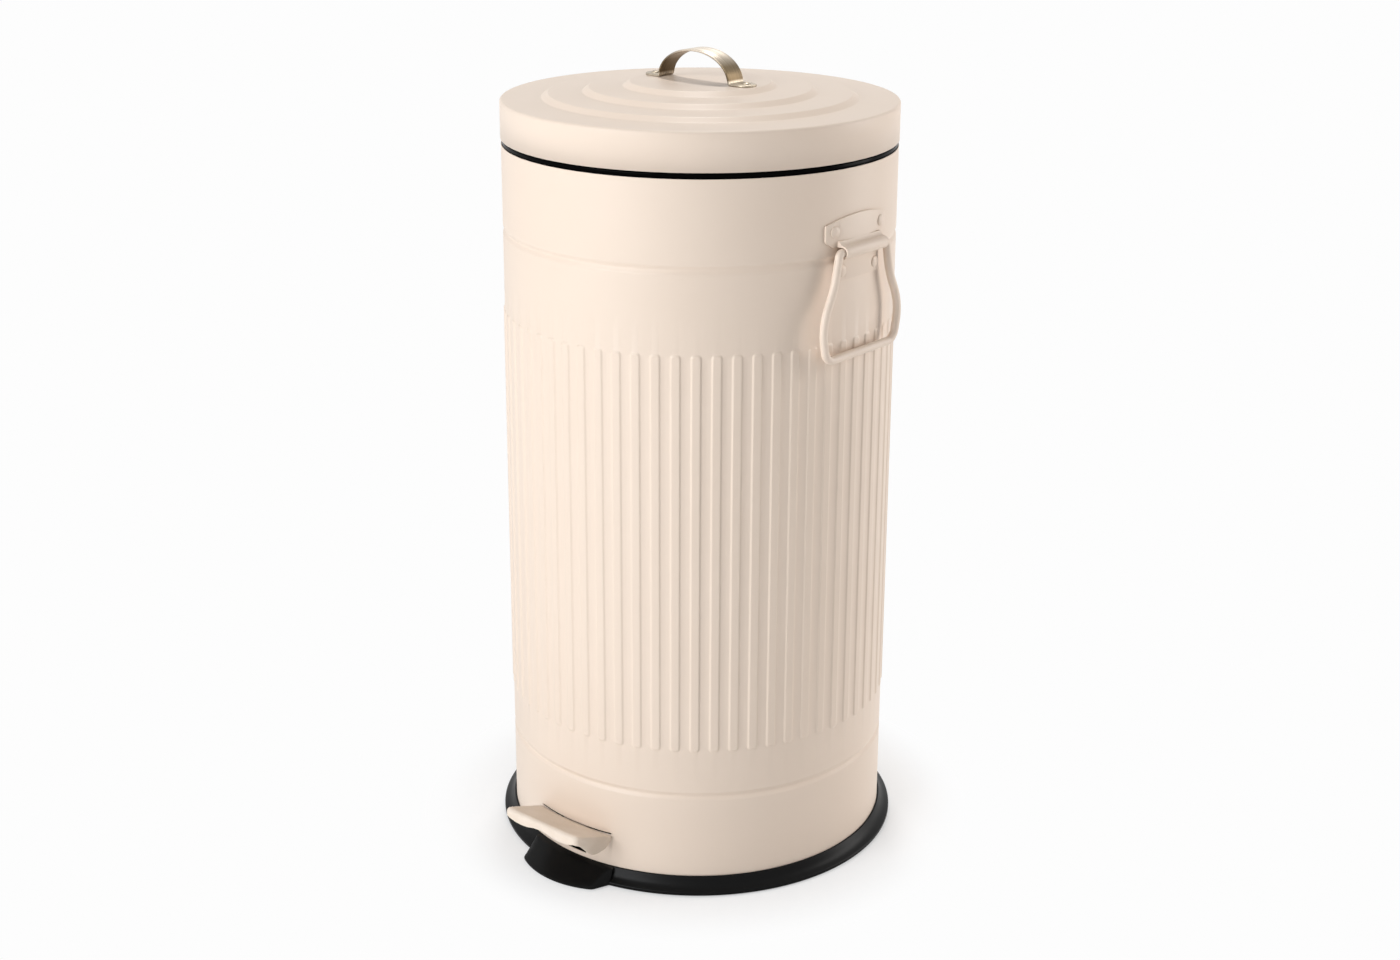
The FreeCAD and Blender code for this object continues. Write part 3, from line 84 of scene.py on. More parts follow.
# %% Rounded outlines
def rounded(corners, closed=False, step=9):
    """Points along straight runs whose corners are arcs. A corner is (coordinates, radius)."""
    spots = [np.array(spot, dtype=float) for spot, radius in corners]
    points = []
    for index, (spot, radius) in enumerate(corners):
        end = not closed and index in (0, len(corners) - 1)
        if end or not radius:
            points.append(spots[index])
            continue
        here = spots[index]
        back = spots[index - 1] - here
        ahead = spots[(index + 1) % len(spots)] - here
        back, ahead = back / np.linalg.norm(back), ahead / np.linalg.norm(ahead)
        half = math.acos(np.clip(back @ ahead, -1, 1)) / 2
        middle = here + (back + ahead) / np.linalg.norm(back + ahead) * radius / math.sin(half)
        first = here + back * radius / math.tan(half) - middle
        last = here + ahead * radius / math.tan(half) - middle
        turn = math.pi - 2 * half
        count = max(2, math.ceil(math.degrees(turn) / step))
        for number in range(count + 1):
            share = number / count
            points.append(middle + (math.sin((1 - share) * turn) * first
                                    + math.sin(share * turn) * last) / math.sin(turn))
    return points


# %% Turned and swept shapes
def turned(outline, count=256, start=0, sweep=360):
    """A closed outline of (radius, height) turned about the bin's axis, with ends where it stops short."""
    full = sweep == 360
    turns = [math.radians(start + sweep * number / count) for number in range(count if full else count + 1)]
    points = [(r * math.cos(turn), r * math.sin(turn), z) for turn in turns for r, z in outline]
    size = len(outline)
    faces = []
    for number in range(count):
        here, after = number * size, ((number + 1) % len(turns)) * size
        for side in range(size):
            other = (side + 1) % size
            corners = [here + side, after + side, after + other, here + other]
            if outline[side][0] == 0 and outline[other][0] == 0:
                continue
            faces.append(corners)
    if not full:
        faces.append(list(range(size)))
        faces.append([count * size + side for side in range(size)][::-1])
    return points, faces


def tube(path, radius, sides=20, ends=0.6):
    """Round wire along a path, with its cut ends a little rounded."""
    path = [Vector(point) for point in path]
    along = [(path[min(i + 1, len(path) - 1)] - path[max(i - 1, 0)]).normalized() for i in range(len(path))]
    side = along[0].orthogonal().normalized()
    rings = []
    for index, point in enumerate(path):
        if index:
            side.rotate(along[index - 1].rotation_difference(along[index]))
        rings.append((point, side.copy(), along[index].cross(side), radius))
    first, last = rings[0], rings[-1]
    rings.insert(0, (path[0] - along[0] * ends, first[1], first[2], radius - ends))
    rings.append((path[-1] + along[-1] * ends, last[1], last[2], radius - ends))
    points, faces = [], []
    for centre, across, up, size in rings:
        for number in range(sides):
            turn = 2 * math.pi * number / sides
            points.append(centre + across * math.cos(turn) * size + up * math.sin(turn) * size)
    for ring in range(len(rings) - 1):
        for number in range(sides):
            other = (number + 1) % sides
            faces.append([ring * sides + number, ring * sides + other,
                          (ring + 1) * sides + other, (ring + 1) * sides + number])
    faces.append(list(range(sides))[::-1])
    faces.append([(len(rings) - 1) * sides + number for number in range(sides)])
    return points, faces


# %% [markdown]
# ## Finishes
# Colours are written as the hex values of paint charts and screens, and one function turns them into the
# linear values that Blender's shaders use. Each finish starts from one shader, and a second small function
# adds a node, sets it and joins its inputs.

# %% Colour and node helpers
def linear(code):
    """A hex colour such as C0FFEE as linear red, green, blue and alpha."""
    parts = [int(code[at:at + 2], 16) / 255 for at in (0, 2, 4)]
    return tuple(p / 12.92 if p <= 0.04045 else ((p + 0.055) / 1.055) ** 2.4 for p in parts) + (1,)


def node(tree, kind, inputs, **settings):
    """Add a node: settings are its properties, inputs are values or the sockets to join."""
    made = tree.nodes.new(kind)
    for name, setting in settings.items():
        setattr(made, name, setting)
    for name, source in inputs.items():
        if isinstance(source, bpy.types.NodeSocket):
            tree.links.new(source, made.inputs[name])
        else:
            made.inputs[name].default_value = source
    return made


def finish(name):
    """An empty material, and its node tree."""
    material = bpy.data.materials.new(name)
    material.use_nodes = True
    material.node_tree.nodes.clear()
    return material, material.node_tree


# %% [markdown]
# ### Powder-coated steel
# The drum, lid, pedal and side handles are steel with a cream polyester powder coat. The powder melts into
# a film about 0.07 mm thick that flows almost level: it has a satin gloss and a faint orange peel whose
# waves are a few millimetres long. A large soft noise gives the colour the slight drift of a sprayed film.
# A film of polyester has an IOR of 1.5, and the satin texture takes away about a third of its mirror shine.
# Shoes scuff the pedal, so its coat is a little duller and its colour drifts over a centimetre or two.

# %% Cream powder coat
PEEL_SIZE, PEEL_DEPTH = 2.6, 0.05


def powder_coat(name, body_colour, drift_colour, gloss, drift_size=85):
    """Satin coat between two close colours, whose drift has the given size in millimetres."""
    material, tree = finish(name)
    place = node(tree, "ShaderNodeTexCoord", {})
    peel = node(tree, "ShaderNodeTexNoise", {
        "Vector": place.outputs["Object"], "Scale": 1 / (PEEL_SIZE * MM), "Detail": 1.5, "Roughness": 0.4})
    cloud = node(tree, "ShaderNodeTexNoise", {
        "Vector": place.outputs["Object"], "Scale": 1 / (drift_size * MM), "Detail": 3.0})
    colour = node(tree, "ShaderNodeMix", {
        0: cloud.outputs["Fac"], 6: linear(body_colour), 7: linear(drift_colour)}, data_type="RGBA")
    rough = node(tree, "ShaderNodeMapRange", {"Value": cloud.outputs["Fac"], "To Min": gloss - 0.04,
                                              "To Max": gloss + 0.04})
    bump = node(tree, "ShaderNodeBump", {
        "Height": peel.outputs["Fac"], "Strength": 0.12, "Distance": PEEL_DEPTH * MM})
    shader = node(tree, "ShaderNodeBsdfPrincipled", {
        "Base Color": colour.outputs[2], "Roughness": rough.outputs["Result"],
        "Normal": bump.outputs["Normal"], "IOR": 1.5, "Specular IOR Level": 0.35})
    node(tree, "ShaderNodeOutputMaterial", {"Surface": shader.outputs["BSDF"]})
    return material


cream = powder_coat("cream_powder_coat", "E7D6C6", "E3D1C0", 0.42)
pedal_cream = powder_coat("pedal_powder_coat", "F4E6D8", "DFCEBA", 0.45, drift_size=14)
print("coats:", cream.name, pedal_cream.name)

# %% [markdown]
# ### Brushed steel with a champagne tint
# The lid's strap is stainless steel strip, brushed along its length and given a warm champagne colour.
# Brushing leaves scratches a tenth of a millimetre apart, too fine for this picture, so they are drawn
# 0.8 mm apart and 26 mm long. They spread reflections across the strip, which anisotropy stands for. The
# colour carries painted reflection and shade. It is painted darker on the legs of the arch, where the strip
# mirrors dark surroundings and lies in shade. It is painted lighter on the feet and at the top of the arch as
# a highlight. Its streaks follow the brushing grain, and their strong contrast also paints streaky
# reflections.

# %% Champagne strip
champagne, tree = finish("brushed_champagne_steel")
SCRATCH_LONG, SCRATCH_WIDE = 26, 0.8
FEET_LEVEL, ARCH_LEVEL = 0.588, 0.612
# Painted reflection and shade by height: dark on the legs of the arch, light on the feet, and a painted
# highlight at the top.
REFLECTION_SHADE_TINTS = ((0.1, "B8AC9A"), (0.17, "6B5B45"), (0.55, "82725A"), (0.95, "DACFC0"))
place = node(tree, "ShaderNodeTexCoord", {})
stretch = node(tree, "ShaderNodeMapping", {
    "Vector": place.outputs["Object"],
    "Scale": (1 / (SCRATCH_LONG * MM), 1 / (SCRATCH_WIDE * MM), 1 / (SCRATCH_LONG * MM))})
grain = node(tree, "ShaderNodeTexNoise", {"Vector": stretch.outputs["Vector"], "Scale": 1.0, "Detail": 2.0})
rough = node(tree, "ShaderNodeMapRange", {"Value": grain.outputs["Fac"], "To Min": 0.34, "To Max": 0.48})
parts = node(tree, "ShaderNodeSeparateXYZ", {"Vector": place.outputs["Object"]})
height = node(tree, "ShaderNodeMapRange", {
    "Value": parts.outputs["Z"], "From Min": FEET_LEVEL, "From Max": ARCH_LEVEL})
# This ramp paints reflection and shade into the strip's colour by height.
painted_reflection_ramp = node(tree, "ShaderNodeValToRGB", {"Fac": height.outputs["Result"]})
for stop, (at, code) in enumerate(REFLECTION_SHADE_TINTS):
    spot = painted_reflection_ramp.color_ramp.elements[stop] if stop < 2 else painted_reflection_ramp.color_ramp.elements.new(at)
    spot.position, spot.color = at, linear(code)
# Streaks along the brushing grain; their strong contrast also paints streaky reflections into the colour.
grain_and_reflection_streaks = node(tree, "ShaderNodeMapRange", {
    "Value": grain.outputs["Fac"], "From Min": 0.3, "From Max": 0.7, "To Min": 0.62, "To Max": 1.12})
tint = node(tree, "ShaderNodeMix", {0: 1.0, 6: painted_reflection_ramp.outputs["Color"], 7: grain_and_reflection_streaks.outputs["Result"]},
            data_type="RGBA", blend_type="MULTIPLY")
lengthwise = node(tree, "ShaderNodeTangent", {}, direction_type="RADIAL", axis="Y")
bump = node(tree, "ShaderNodeBump", {"Height": grain.outputs["Fac"], "Strength": 0.2, "Distance": 0.02 * MM})
shader = node(tree, "ShaderNodeBsdfPrincipled", {
    "Base Color": tint.outputs[2], "Metallic": 1.0, "Roughness": rough.outputs["Result"],
    "Anisotropic": 0.6, "Anisotropic Rotation": 0.25, "Normal": bump.outputs["Normal"],
    "Tangent": lengthwise.outputs["Tangent"]})
node(tree, "ShaderNodeOutputMaterial", {"Surface": shader.outputs["BSDF"]})
print("strip:", champagne.name)

# %% [markdown]
# ### Moulded plastics and rubber
# The base and collar are black polypropylene from polished moulds, the bucket is the same plastic from an
# etched mould, and the feet are rubber. They differ in gloss and in the grain of the mould. Polypropylene has
# an IOR of 1.49, but in an all-white studio a black part then turns grey, so the shine of the base and collar
# is turned down until they are as black as black plastic looks in a room.

# %% Plastics
HAND_MARKS = 40


def moulded(name, colour, gloss, grain_size, grain_depth, shine=0.5):
    """Moulded plastic or rubber: its grain in millimetres, and handling that changes the gloss in patches."""
    material, tree = finish(name)
    place = node(tree, "ShaderNodeTexCoord", {})
    grain = node(tree, "ShaderNodeTexNoise", {
        "Vector": place.outputs["Object"], "Scale": 1 / (grain_size * MM), "Detail": 2.0})
    handled = node(tree, "ShaderNodeTexNoise", {
        "Vector": place.outputs["Object"], "Scale": 1 / (HAND_MARKS * MM), "Detail": 4.0})
    rough = node(tree, "ShaderNodeMapRange", {
        "Value": handled.outputs["Fac"], "To Min": gloss - 0.06, "To Max": gloss + 0.06})
    bump = node(tree, "ShaderNodeBump", {
        "Height": grain.outputs["Fac"], "Strength": 0.3, "Distance": grain_depth * MM})
    shader = node(tree, "ShaderNodeBsdfPrincipled", {
        "Base Color": linear(colour), "Roughness": rough.outputs["Result"],
        "Normal": bump.outputs["Normal"], "IOR": 1.49, "Specular IOR Level": shine})
    node(tree, "ShaderNodeOutputMaterial", {"Surface": shader.outputs["BSDF"]})
    return material


base_plastic = moulded("satin_black_polypropylene", "0B0B0B", 0.36, 1.2, 0.02, shine=0.1)
collar_plastic = moulded("gloss_black_polypropylene", "030303", 0.18, 1.5, 0.01, shine=0.02)
bucket_plastic = moulded("etched_grey_polypropylene", "3A3B3D", 0.5, 0.7, 0.03)
rubber = moulded("black_rubber", "1A1A1A", 0.7, 0.9, 0.04)
print("plastics:", base_plastic.name, collar_plastic.name, bucket_plastic.name, rubber.name)

# %% [markdown]
# ### Zinc-plated steel
# Pins, clips, the push rod, its guide and the bucket's wire handle are plain steel with bright zinc plating.
# It is grey with a slight blue tint, and its crystals make it cloudy over a few millimetres.

# %% Zinc plate
zinc, tree = finish("zinc_plated_steel")
place = node(tree, "ShaderNodeTexCoord", {})
CLOUD_SIZE = 4
cloud = node(tree, "ShaderNodeTexNoise", {
    "Vector": place.outputs["Object"], "Scale": 1 / (CLOUD_SIZE * MM), "Detail": 4.0})
tint = node(tree, "ShaderNodeMix", {0: cloud.outputs["Fac"], 6: linear("A9ACB0"), 7: linear("BFC1C3")},
            data_type="RGBA")
rough = node(tree, "ShaderNodeMapRange", {"Value": cloud.outputs["Fac"], "To Min": 0.25, "To Max": 0.42})
shader = node(tree, "ShaderNodeBsdfPrincipled", {
    "Base Color": tint.outputs[2], "Metallic": 1.0, "Roughness": rough.outputs["Result"]})
node(tree, "ShaderNodeOutputMaterial", {"Surface": shader.outputs["BSDF"]})
print("plating:", zinc.name)

# %% [markdown]
# ## Drum
# A sheet of 0.7 mm steel is pressed with 64 upright ribs, rolled into a tube and given two rolled grooves.
# Each rib could be cut or sculpted by itself. A fine grid wrapped round the axis carries all of them as one
# number instead, how far each point stands out of the tube, and a Solidify modifier then gives the sheet its
# thickness, so the ribs show inside as well. In front there is a slot for the pedal's lever, with a narrow
# slit above it along the pad, and behind there is a notch for the lid's arm.

# %% Drum sizes
DRUM, FOOT, RIM, SHEET = 147.0, 8.0, 543.5, 0.7
RIBS, RIB_HALF, RIB_RISE, RIB_LOW, RIB_HIGH = 64, 4.15, 0.85, 115.0, 420.5
RIB_FLANK = 1.6
GROOVES, GROOVE_HALF, GROOVE_DEPTH = (78.5, 480.0), 3.63, 1.5
ROUND = 2 * math.pi * DRUM
PITCH = ROUND / RIBS
SLOT_FOOT, SLOT_HEAD, SLOT_HALF = 16.0, 38.4, PITCH - 1.4
SLIT_HEAD, SLIT_HALF = 39.7, 2.5 * PITCH
NOTCH_FOOT, NOTCH_HALF = 521.5, 3.3
print(f"rib pitch: {PITCH:.2f} mm")

# %% [markdown]
# The grid's lines stand close together only where the sheet bends. Beside each cut edge there is one more
# line, a third of a millimetre away, so that the hard edge doesn't shade the sheet around it.

# %% Drum grid
EASE = 0.3
across = np.array([0, 1.4, 2.2, 2.7, 3.2, 3.7, 4.2])
across = np.concatenate([-across[:0:-1], across, [PITCH / 2]])
columns = np.concatenate([across + PITCH * number for number in range(RIBS)])
near = np.concatenate([across] * RIBS)
rib_ends = [0.0, 0.6, 1.1, 1.6, 2.2, 3.0, 4.2]
heights = {FOOT, SLOT_FOOT, SLOT_HEAD, SLIT_HEAD, NOTCH_FOOT, RIM}
heights |= {FOOT + EASE, SLOT_FOOT - EASE, SLOT_HEAD + EASE, SLIT_HEAD + EASE, NOTCH_FOOT - EASE, RIM - EASE}
heights |= {60.0, 190.0, 268.0, 345.0, 450.0, 500.0}
heights |= {RIB_LOW + d for d in rib_ends} | {RIB_HIGH - d for d in rib_ends}
heights |= {groove + d for groove in GROOVES for d in np.linspace(-4.125, 4.125, 11)}
rows = np.array(sorted(heights))
wide, tall = len(columns), len(rows)
print("drum grid:", wide, "by", tall)


# %% [markdown]
# A rib's outline is a rounded bar. The distance from its middle line is taken with cubes in place of the
# squares of a circle, which makes its ends squarer, as the press leaves them.

# %% Drum relief
def soft(share):
    """A smooth step from 0 to 1."""
    share = np.clip(share, 0, 1)
    return share * share * (3 - 2 * share)


beyond = np.maximum(0, np.maximum(RIB_LOW + RIB_HALF - rows, rows - RIB_HIGH + RIB_HALF))
reach = (abs(near[None, :]) ** 3 + beyond[:, None] ** 3) ** (1 / 3)
out = RIB_RISE * soft((RIB_HALF - reach) / RIB_FLANK)
for groove in GROOVES:
    out -= GROOVE_DEPTH * soft(1 - abs(rows - groove) / GROOVE_HALF)[:, None]
turns = columns / DRUM - math.pi / 2
radii = DRUM + out
levels = np.broadcast_to(rows[:, None], radii.shape)
points = np.stack([radii * np.cos(turns), radii * np.sin(turns), levels], -1)
print(f"relief: {out.min():.2f} to {out.max():.2f} mm")


# %% Drum sheet
def opening(place, level):
    """Whether the sheet is cut away at a place round the drum, from the front's middle, and a height."""
    from_front = (place + ROUND / 2) % ROUND - ROUND / 2
    from_back = place % ROUND - ROUND / 2
    return (abs(from_front) < SLOT_HALF and SLOT_FOOT <= level < SLOT_HEAD
            or abs(from_front) < SLIT_HALF and SLOT_HEAD <= level < SLIT_HEAD
            or abs(from_back) < NOTCH_HALF and level >= NOTCH_FOOT)


faces = []
for row in range(tall - 1):
    low, high = row * wide, (row + 1) * wide
    for column in range(wide):
        after = (column + 1) % wide
        middle = (columns[column] + columns[after] + (ROUND if after == 0 else 0)) / 2
        if not opening(middle, rows[row]):
            faces.append([low + column, low + after, high + after, high + column])
drum = piece("drum_sheet", points.reshape(-1, 3), faces, "bin", ["outer_shell"], cream,
             hard=60)
thick = drum.modifiers.new("sheet", "SOLIDIFY")
thick.thickness = SHEET * MM
thick.offset = -1

# %% [markdown]
# ## Base
# The drum stands in a shallow black tray. Its rim flares out to the floor, and under the pedal it runs
# further out as a toe that stops the bin from tipping back. The tray is round, so an outline turned about
# the axis gives all of it. A spigot inside the drum stops short on each side of the pedal's lever.


# %% Several solids as one
def joined(*solids):
    """Several (points, faces) as one."""
    points, faces = [], []
    for spots, corners in solids:
        faces += [[corner + len(points) for corner in face] for face in corners]
        points += list(spots)
    return points, faces


# %% [markdown]
# Two lugs on the tray's floor hold the pin that the lever turns on. A lug is a flat outline with a round top
# and a hole, and each point of the hole lies on the line from the hole's middle to a point of the outline.

# %% Lugs for the pivot pin
PIN_BACK, PIN_UP, PIN_HOLE, LUG_HALF, LUG_FOOT = -55.0, 30.5, 3.05, 6.0, 5.5
LUG_IN, LUG_OUT = 13.0, 19.0


def lug(inner, outer):
    """A lug from one distance beside the bin's middle to another."""
    walls = [*np.linspace(LUG_FOOT, PIN_UP, 6)]
    edge = [(PIN_BACK - LUG_HALF, z) for z in walls[:-1]]
    edge += [(PIN_BACK - LUG_HALF * math.cos(a), PIN_UP + LUG_HALF * math.sin(a))
             for a in np.linspace(0, math.pi, 19)]
    edge += [(PIN_BACK + LUG_HALF, z) for z in walls[-2::-1]]
    edge += [(PIN_BACK + LUG_HALF * share, LUG_FOOT) for share in (0.5, 0.0, -0.5)]
    hole = []
    for y, z in edge:
        shrink = PIN_HOLE / math.hypot(y - PIN_BACK, z - PIN_UP)
        hole.append((PIN_BACK + (y - PIN_BACK) * shrink, PIN_UP + (z - PIN_UP) * shrink))
    count = len(edge)
    points = [(x, y, z) for x in (inner, outer) for loop in (edge, hole) for y, z in loop]
    faces = []
    for i in range(count):
        j = (i + 1) % count
        faces += [[i, j, 2 * count + j, 2 * count + i], [count + i, 3 * count + i, 3 * count + j, count + j],
                  [i, count + i, count + j, j], [2 * count + i, 2 * count + j, 3 * count + j, 3 * count + i]]
    return points, faces


# %% Tray
tray = rounded([((156.77, 1.0), 0.4), ((156.77, 3.4), 1.0), ((151.6, 6.2), 9.0), ((148.5, 12.6), 0.5),
                ((147.2, 12.6), 0.1), ((147.2, FOOT), 0), ((146.3, FOOT), 0), ((146.3, 7.0), 0),
                ((143.5, 7.0), 0), ((143.5, 6.0), 0), ((0, 6.0), 0), ((0, 3.5), 0), ((151.8, 3.5), 0.5),
                ((153.8, 1.0), 0.5)], closed=True)
spigot = rounded([((146.0, 6.5), 0), ((146.0, 22.0), 0.8), ((143.5, 22.0), 0.8), ((143.5, 6.5), 0)],
                 closed=True)
points, faces = joined(turned([tuple(p) for p in tray]),
                       turned([tuple(p) for p in spigot], count=246, start=-83.6, sweep=347.2),
                       lug(LUG_IN, LUG_OUT), lug(-LUG_OUT, -LUG_IN))
piece("base_tray", points, faces, "bin", ["base"], base_plastic, hard=45)


# %% [markdown]
# The toe is a second moulding on the rim, wider at the foot than at the top. Its outline seen from above is
# drawn at eight heights, with a bowed front and rounded corners, and skin is stretched from one to the next.

# %% Toe
TOE_BACK, TRAY_FLOOR, SEAT = 141.5, 7.0, 147.25


def toe_outline(height, corner_half, corner_back, bow, side_half, side_back, fillet, count=28):
    """The toe at one height: the bowed front, two rounded corners, the slanting sides and the back."""
    radius = (corner_half ** 2 + bow ** 2) / (2 * bow)
    front = [(radius * math.sin(a), -(corner_back + bow - radius + radius * math.cos(a)))
             for a in np.linspace(0, math.asin(corner_half / radius), 12)]
    corners = [(np.array(spot), 0) for spot in front[:-1]]
    corners += [(np.array(front[-1]), fillet), (np.array((side_half, -side_back)), 0)]
    path = np.array(rounded(corners, step=8))
    along = np.concatenate([[0], np.cumsum(np.linalg.norm(np.diff(path, axis=0), axis=1))])
    even = np.linspace(0, along[-1], count)
    right = [(np.interp(a, along, path[:, 0]), np.interp(a, along, path[:, 1])) for a in even]
    ring = [(-x, y, height) for x, y in right[:0:-1]] + [(x, y, height) for x, y in right]
    return ring + [(side_half - 2, -TOE_BACK, height), (-(side_half - 2), -TOE_BACK, height)]


# Each row: height, corner beside the middle, corner in front of the axis, bow, side, its end, corner radius.
levels = [(1.0, 35.6, 164.4, 9.8, 41.0, 150.4, 5.0), (1.5, 36.0, 165.0, 9.8, 41.5, 150.3, 5.0),
          (2.6, 36.0, 165.0, 9.8, 41.5, 150.3, 5.0), (3.3, 36.0, 164.2, 9.6, 41.4, 150.2, 4.6),
          (5.5, 36.7, 159.9, 8.6, 41.1, 149.5, 4.0), (9.0, 38.0, 153.2, 6.8, 40.6, 147.8, 3.0),
          (11.6, 38.9, 148.6, 5.4, 40.2, 146.3, 1.2), (12.4, 39.3, 147.2, 4.9, 40.0, 145.6, 0.8)]
rings = [toe_outline(*level) for level in levels]
size = len(rings[0])
points = [point for ring in rings for point in ring]
faces = [[r * size + i, r * size + (i + 1) % size, (r + 1) * size + (i + 1) % size, (r + 1) * size + i]
         for r in range(len(rings) - 1) for i in range(size)]
faces += [list(range(size))[::-1], [(len(rings) - 1) * size + i for i in range(size)]]
outside = []  # the toe's upper points keep clear of the drum
for x, y, z in points:
    push = max(1.0, SEAT / math.hypot(x, y)) if z > TRAY_FLOOR else 1.0
    outside.append((x * push, y * push, z))
piece("base_toe", outside, faces, "bin", [], base_plastic, hard=40)

# %% [markdown]
# ## Collar
# A glossy black moulding closes the top of the drum and carries the bucket on a shelf. All that shows with
# the lid down is its rounded bead between the drum and the lid. Behind, it stops short on each side of the
# lid's arm, so it is turned through less than a full circle.

# %% Collar ring
bead = rounded([((145.3, 543.6), 0.3), ((146.5, 544.6), 0.8), ((146.5, 546.7), 0.8), ((145.3, 547.7), 0.4),
                ((143.5, 547.7), 0), ((143.5, 551.0), 0.8), ((141.0, 551.0), 0.8), ((141.0, 546.0), 0.5),
                ((130.0, 546.0), 0.8), ((130.0, 543.5), 0.8), ((141.0, 543.5), 1.0), ((143.5, 530.0), 0.5),
                ((146.0, 530.0), 0.3), ((146.0, 543.6), 0)], closed=True)
points, faces = turned([tuple(p) for p in bead], count=248, start=96.2, sweep=346.1)
piece("collar_ring", points, faces, "bin", ["top_collar"], collar_plastic, hard=45)

# %% [markdown]
# ## Lid
# The lid is spun from one disc of steel: a straight skirt, a rounded shoulder and three ring steps that
# stiffen the top. Its outline is drawn once from the outside, turned about the axis, and a Solidify modifier
# gives it the sheet's thickness inward, so it is a real shell when it stands open.

# %% Lid
LID, SKIRT_FOOT, SHOULDER, LID_SHEET = 147.4, 548.0, 576.0, 0.8
RING_FEET, RING_RUN, RING_RISE, FALL = (117.0, 87.0, 57.0), 5.0, 3.5, 0.5
SHOULDER_BEND, RING_BEND = 2.0, 2.6
TURNS = 320
top = [((LID, SKIRT_FOOT), 0), ((LID, SHOULDER), SHOULDER_BEND)]
height = SHOULDER
for foot in RING_FEET:
    height += FALL
    top += [((foot, height), RING_BEND), ((foot - RING_RUN, height + RING_RISE), RING_BEND)]
    height += RING_RISE
top += [((0.0, height), 0)]
outline = [tuple(p) for p in rounded(top, step=8)]
points, faces = [], []
for turn in range(TURNS):
    angle = 2 * math.pi * turn / TURNS
    points += [(r * math.cos(angle), r * math.sin(angle), z) for r, z in outline]
size = len(outline)
for turn in range(TURNS):
    here, after = turn * size, (turn + 1) % TURNS * size
    faces += [[here + side, after + side, after + side + 1, here + side + 1] for side in range(size - 1)]
lid = piece("lid_spun", points, faces, "lid", ["lid_shell"], cream, hard=60)
thick = lid.modifiers.new("sheet", "SOLIDIFY")
thick.thickness = LID_SHEET * MM
thick.offset = -1

# %% [markdown]
# ## Strap handle
# A strip of steel is bent into an arch, with a flat foot at each end for a rivet. It is drawn as a path
# seen from the side, and a rounded section is carried along it. A curve with a bevel would do as much, but
# here the section can also narrow on a half circle where the foot ends.

# %% Strap path
LID_TOP, REACH, TAB, ARCH = 588.0, 33.2, 50.6, 21.9
WIDE, THICK, EDGE, FOOT_BEND = 8.5, 1.6, 0.45, 1.6
foot_level = LID_TOP + THICK / 2
arch = [(REACH * math.cos(a), foot_level + ARCH * math.sin(a)) for a in np.radians(np.linspace(8, 172, 55))]
run = [((TAB, foot_level), 0), ((REACH + 0.4, foot_level), FOOT_BEND)] + [((x, z), 0) for x, z in arch]
run += [((-REACH - 0.4, foot_level), FOOT_BEND), ((-TAB, foot_level), 0)]
path = rounded(run, step=12)
foot_end = [path[0] + (path[1] - path[0]) * (1 - math.cos(t)) for t in np.linspace(0, math.pi / 2, 14)]
path = foot_end + list(path[2:-2]) + [np.array([-p[0], p[1]]) for p in foot_end][::-1]
print("strap path:", len(path), "points")

# %% Strap
points, faces = [], []
for index, spot in enumerate(path):
    before, after = path[max(index - 1, 0)], path[min(index + 1, len(path) - 1)]
    along = (after - before) / np.linalg.norm(after - before)
    normal = np.array([along[1], -along[0]])
    if normal[1] < 0 and abs(spot[0]) > REACH + 1:
        normal = -normal
    if normal @ (spot - np.array([0, LID_TOP - 10])) < 0:
        normal = -normal
    over = max(0.0, abs(spot[0]) - (TAB - WIDE))
    half = math.sqrt(max(0.04, WIDE ** 2 - over ** 2))
    edge = min(EDGE, half / 2)
    shape = rounded([((half, -THICK / 2), edge), ((half, THICK / 2), edge),
                     ((-half, THICK / 2), edge), ((-half, -THICK / 2), edge)], closed=True, step=30)
    for side, rise in shape:
        points.append((spot[0] + normal[0] * rise, side, spot[1] + normal[1] * rise))
size = len(shape)
for ring in range(len(path) - 1):
    here, after = ring * size, (ring + 1) * size
    for side in range(size):
        other = (side + 1) % size
        faces.append([here + side, here + other, after + other, after + side])
faces += [list(range(size)), [(len(path) - 1) * size + side for side in range(size)][::-1]]
piece("lid_strap", points, faces, "lid", ["lid_handle"], champagne, hard=50)

# %% [markdown]
# ## Rivets
# A rivet's head is a low dome, 8.4 mm across on the handle plates and 6.6 mm everywhere else. One outline is
# turned about each rivet's own axis.


# %% Rivet heads
AROUND = 40


def rivet_heads(name, spots, body, stands_for, material, radius=3.3):
    """Domed heads, each at a spot on a surface and looking along a direction."""
    dome = rounded([((radius, -0.6), 0), ((radius, 0.35), 0.15), ((radius - 0.6, 0.85), 1.0),
                    ((radius * 0.5, 1.45), 5.0), ((0, 1.55), 0)], step=12)
    size = len(dome)
    points, faces = [], []
    for spot, direction in spots:
        turn = Vector((0, 0, 1)).rotation_difference(Vector(direction))
        start = len(points)
        for number in range(AROUND):
            angle = 2 * math.pi * number / AROUND
            here, after = start + number * size, start + (number + 1) % AROUND * size
            for r, z in dome:
                points.append(Vector(spot) + turn @ Vector((r * math.cos(angle), r * math.sin(angle), z)))
            faces += [[here + side, after + side, after + side + 1, here + side + 1]
                      for side in range(size - 1)]
    return piece(name, points, faces, body, stands_for, material, hard=60)


def on_wall(facing, beside, height, radius=148.4):
    """A spot on the drum, beside the direction it faces in degrees from +X, and the way out."""
    angle = facing + math.degrees(math.asin(beside / radius))
    out = (math.cos(math.radians(angle)), math.sin(math.radians(angle)), 0)
    return (out[0] * radius, out[1] * radius, height), out


# %% [markdown]
# Each handle's plate has two rivets above its channel and two below. The hinge's bracket has four, and its
# leaf and the strap have two each.

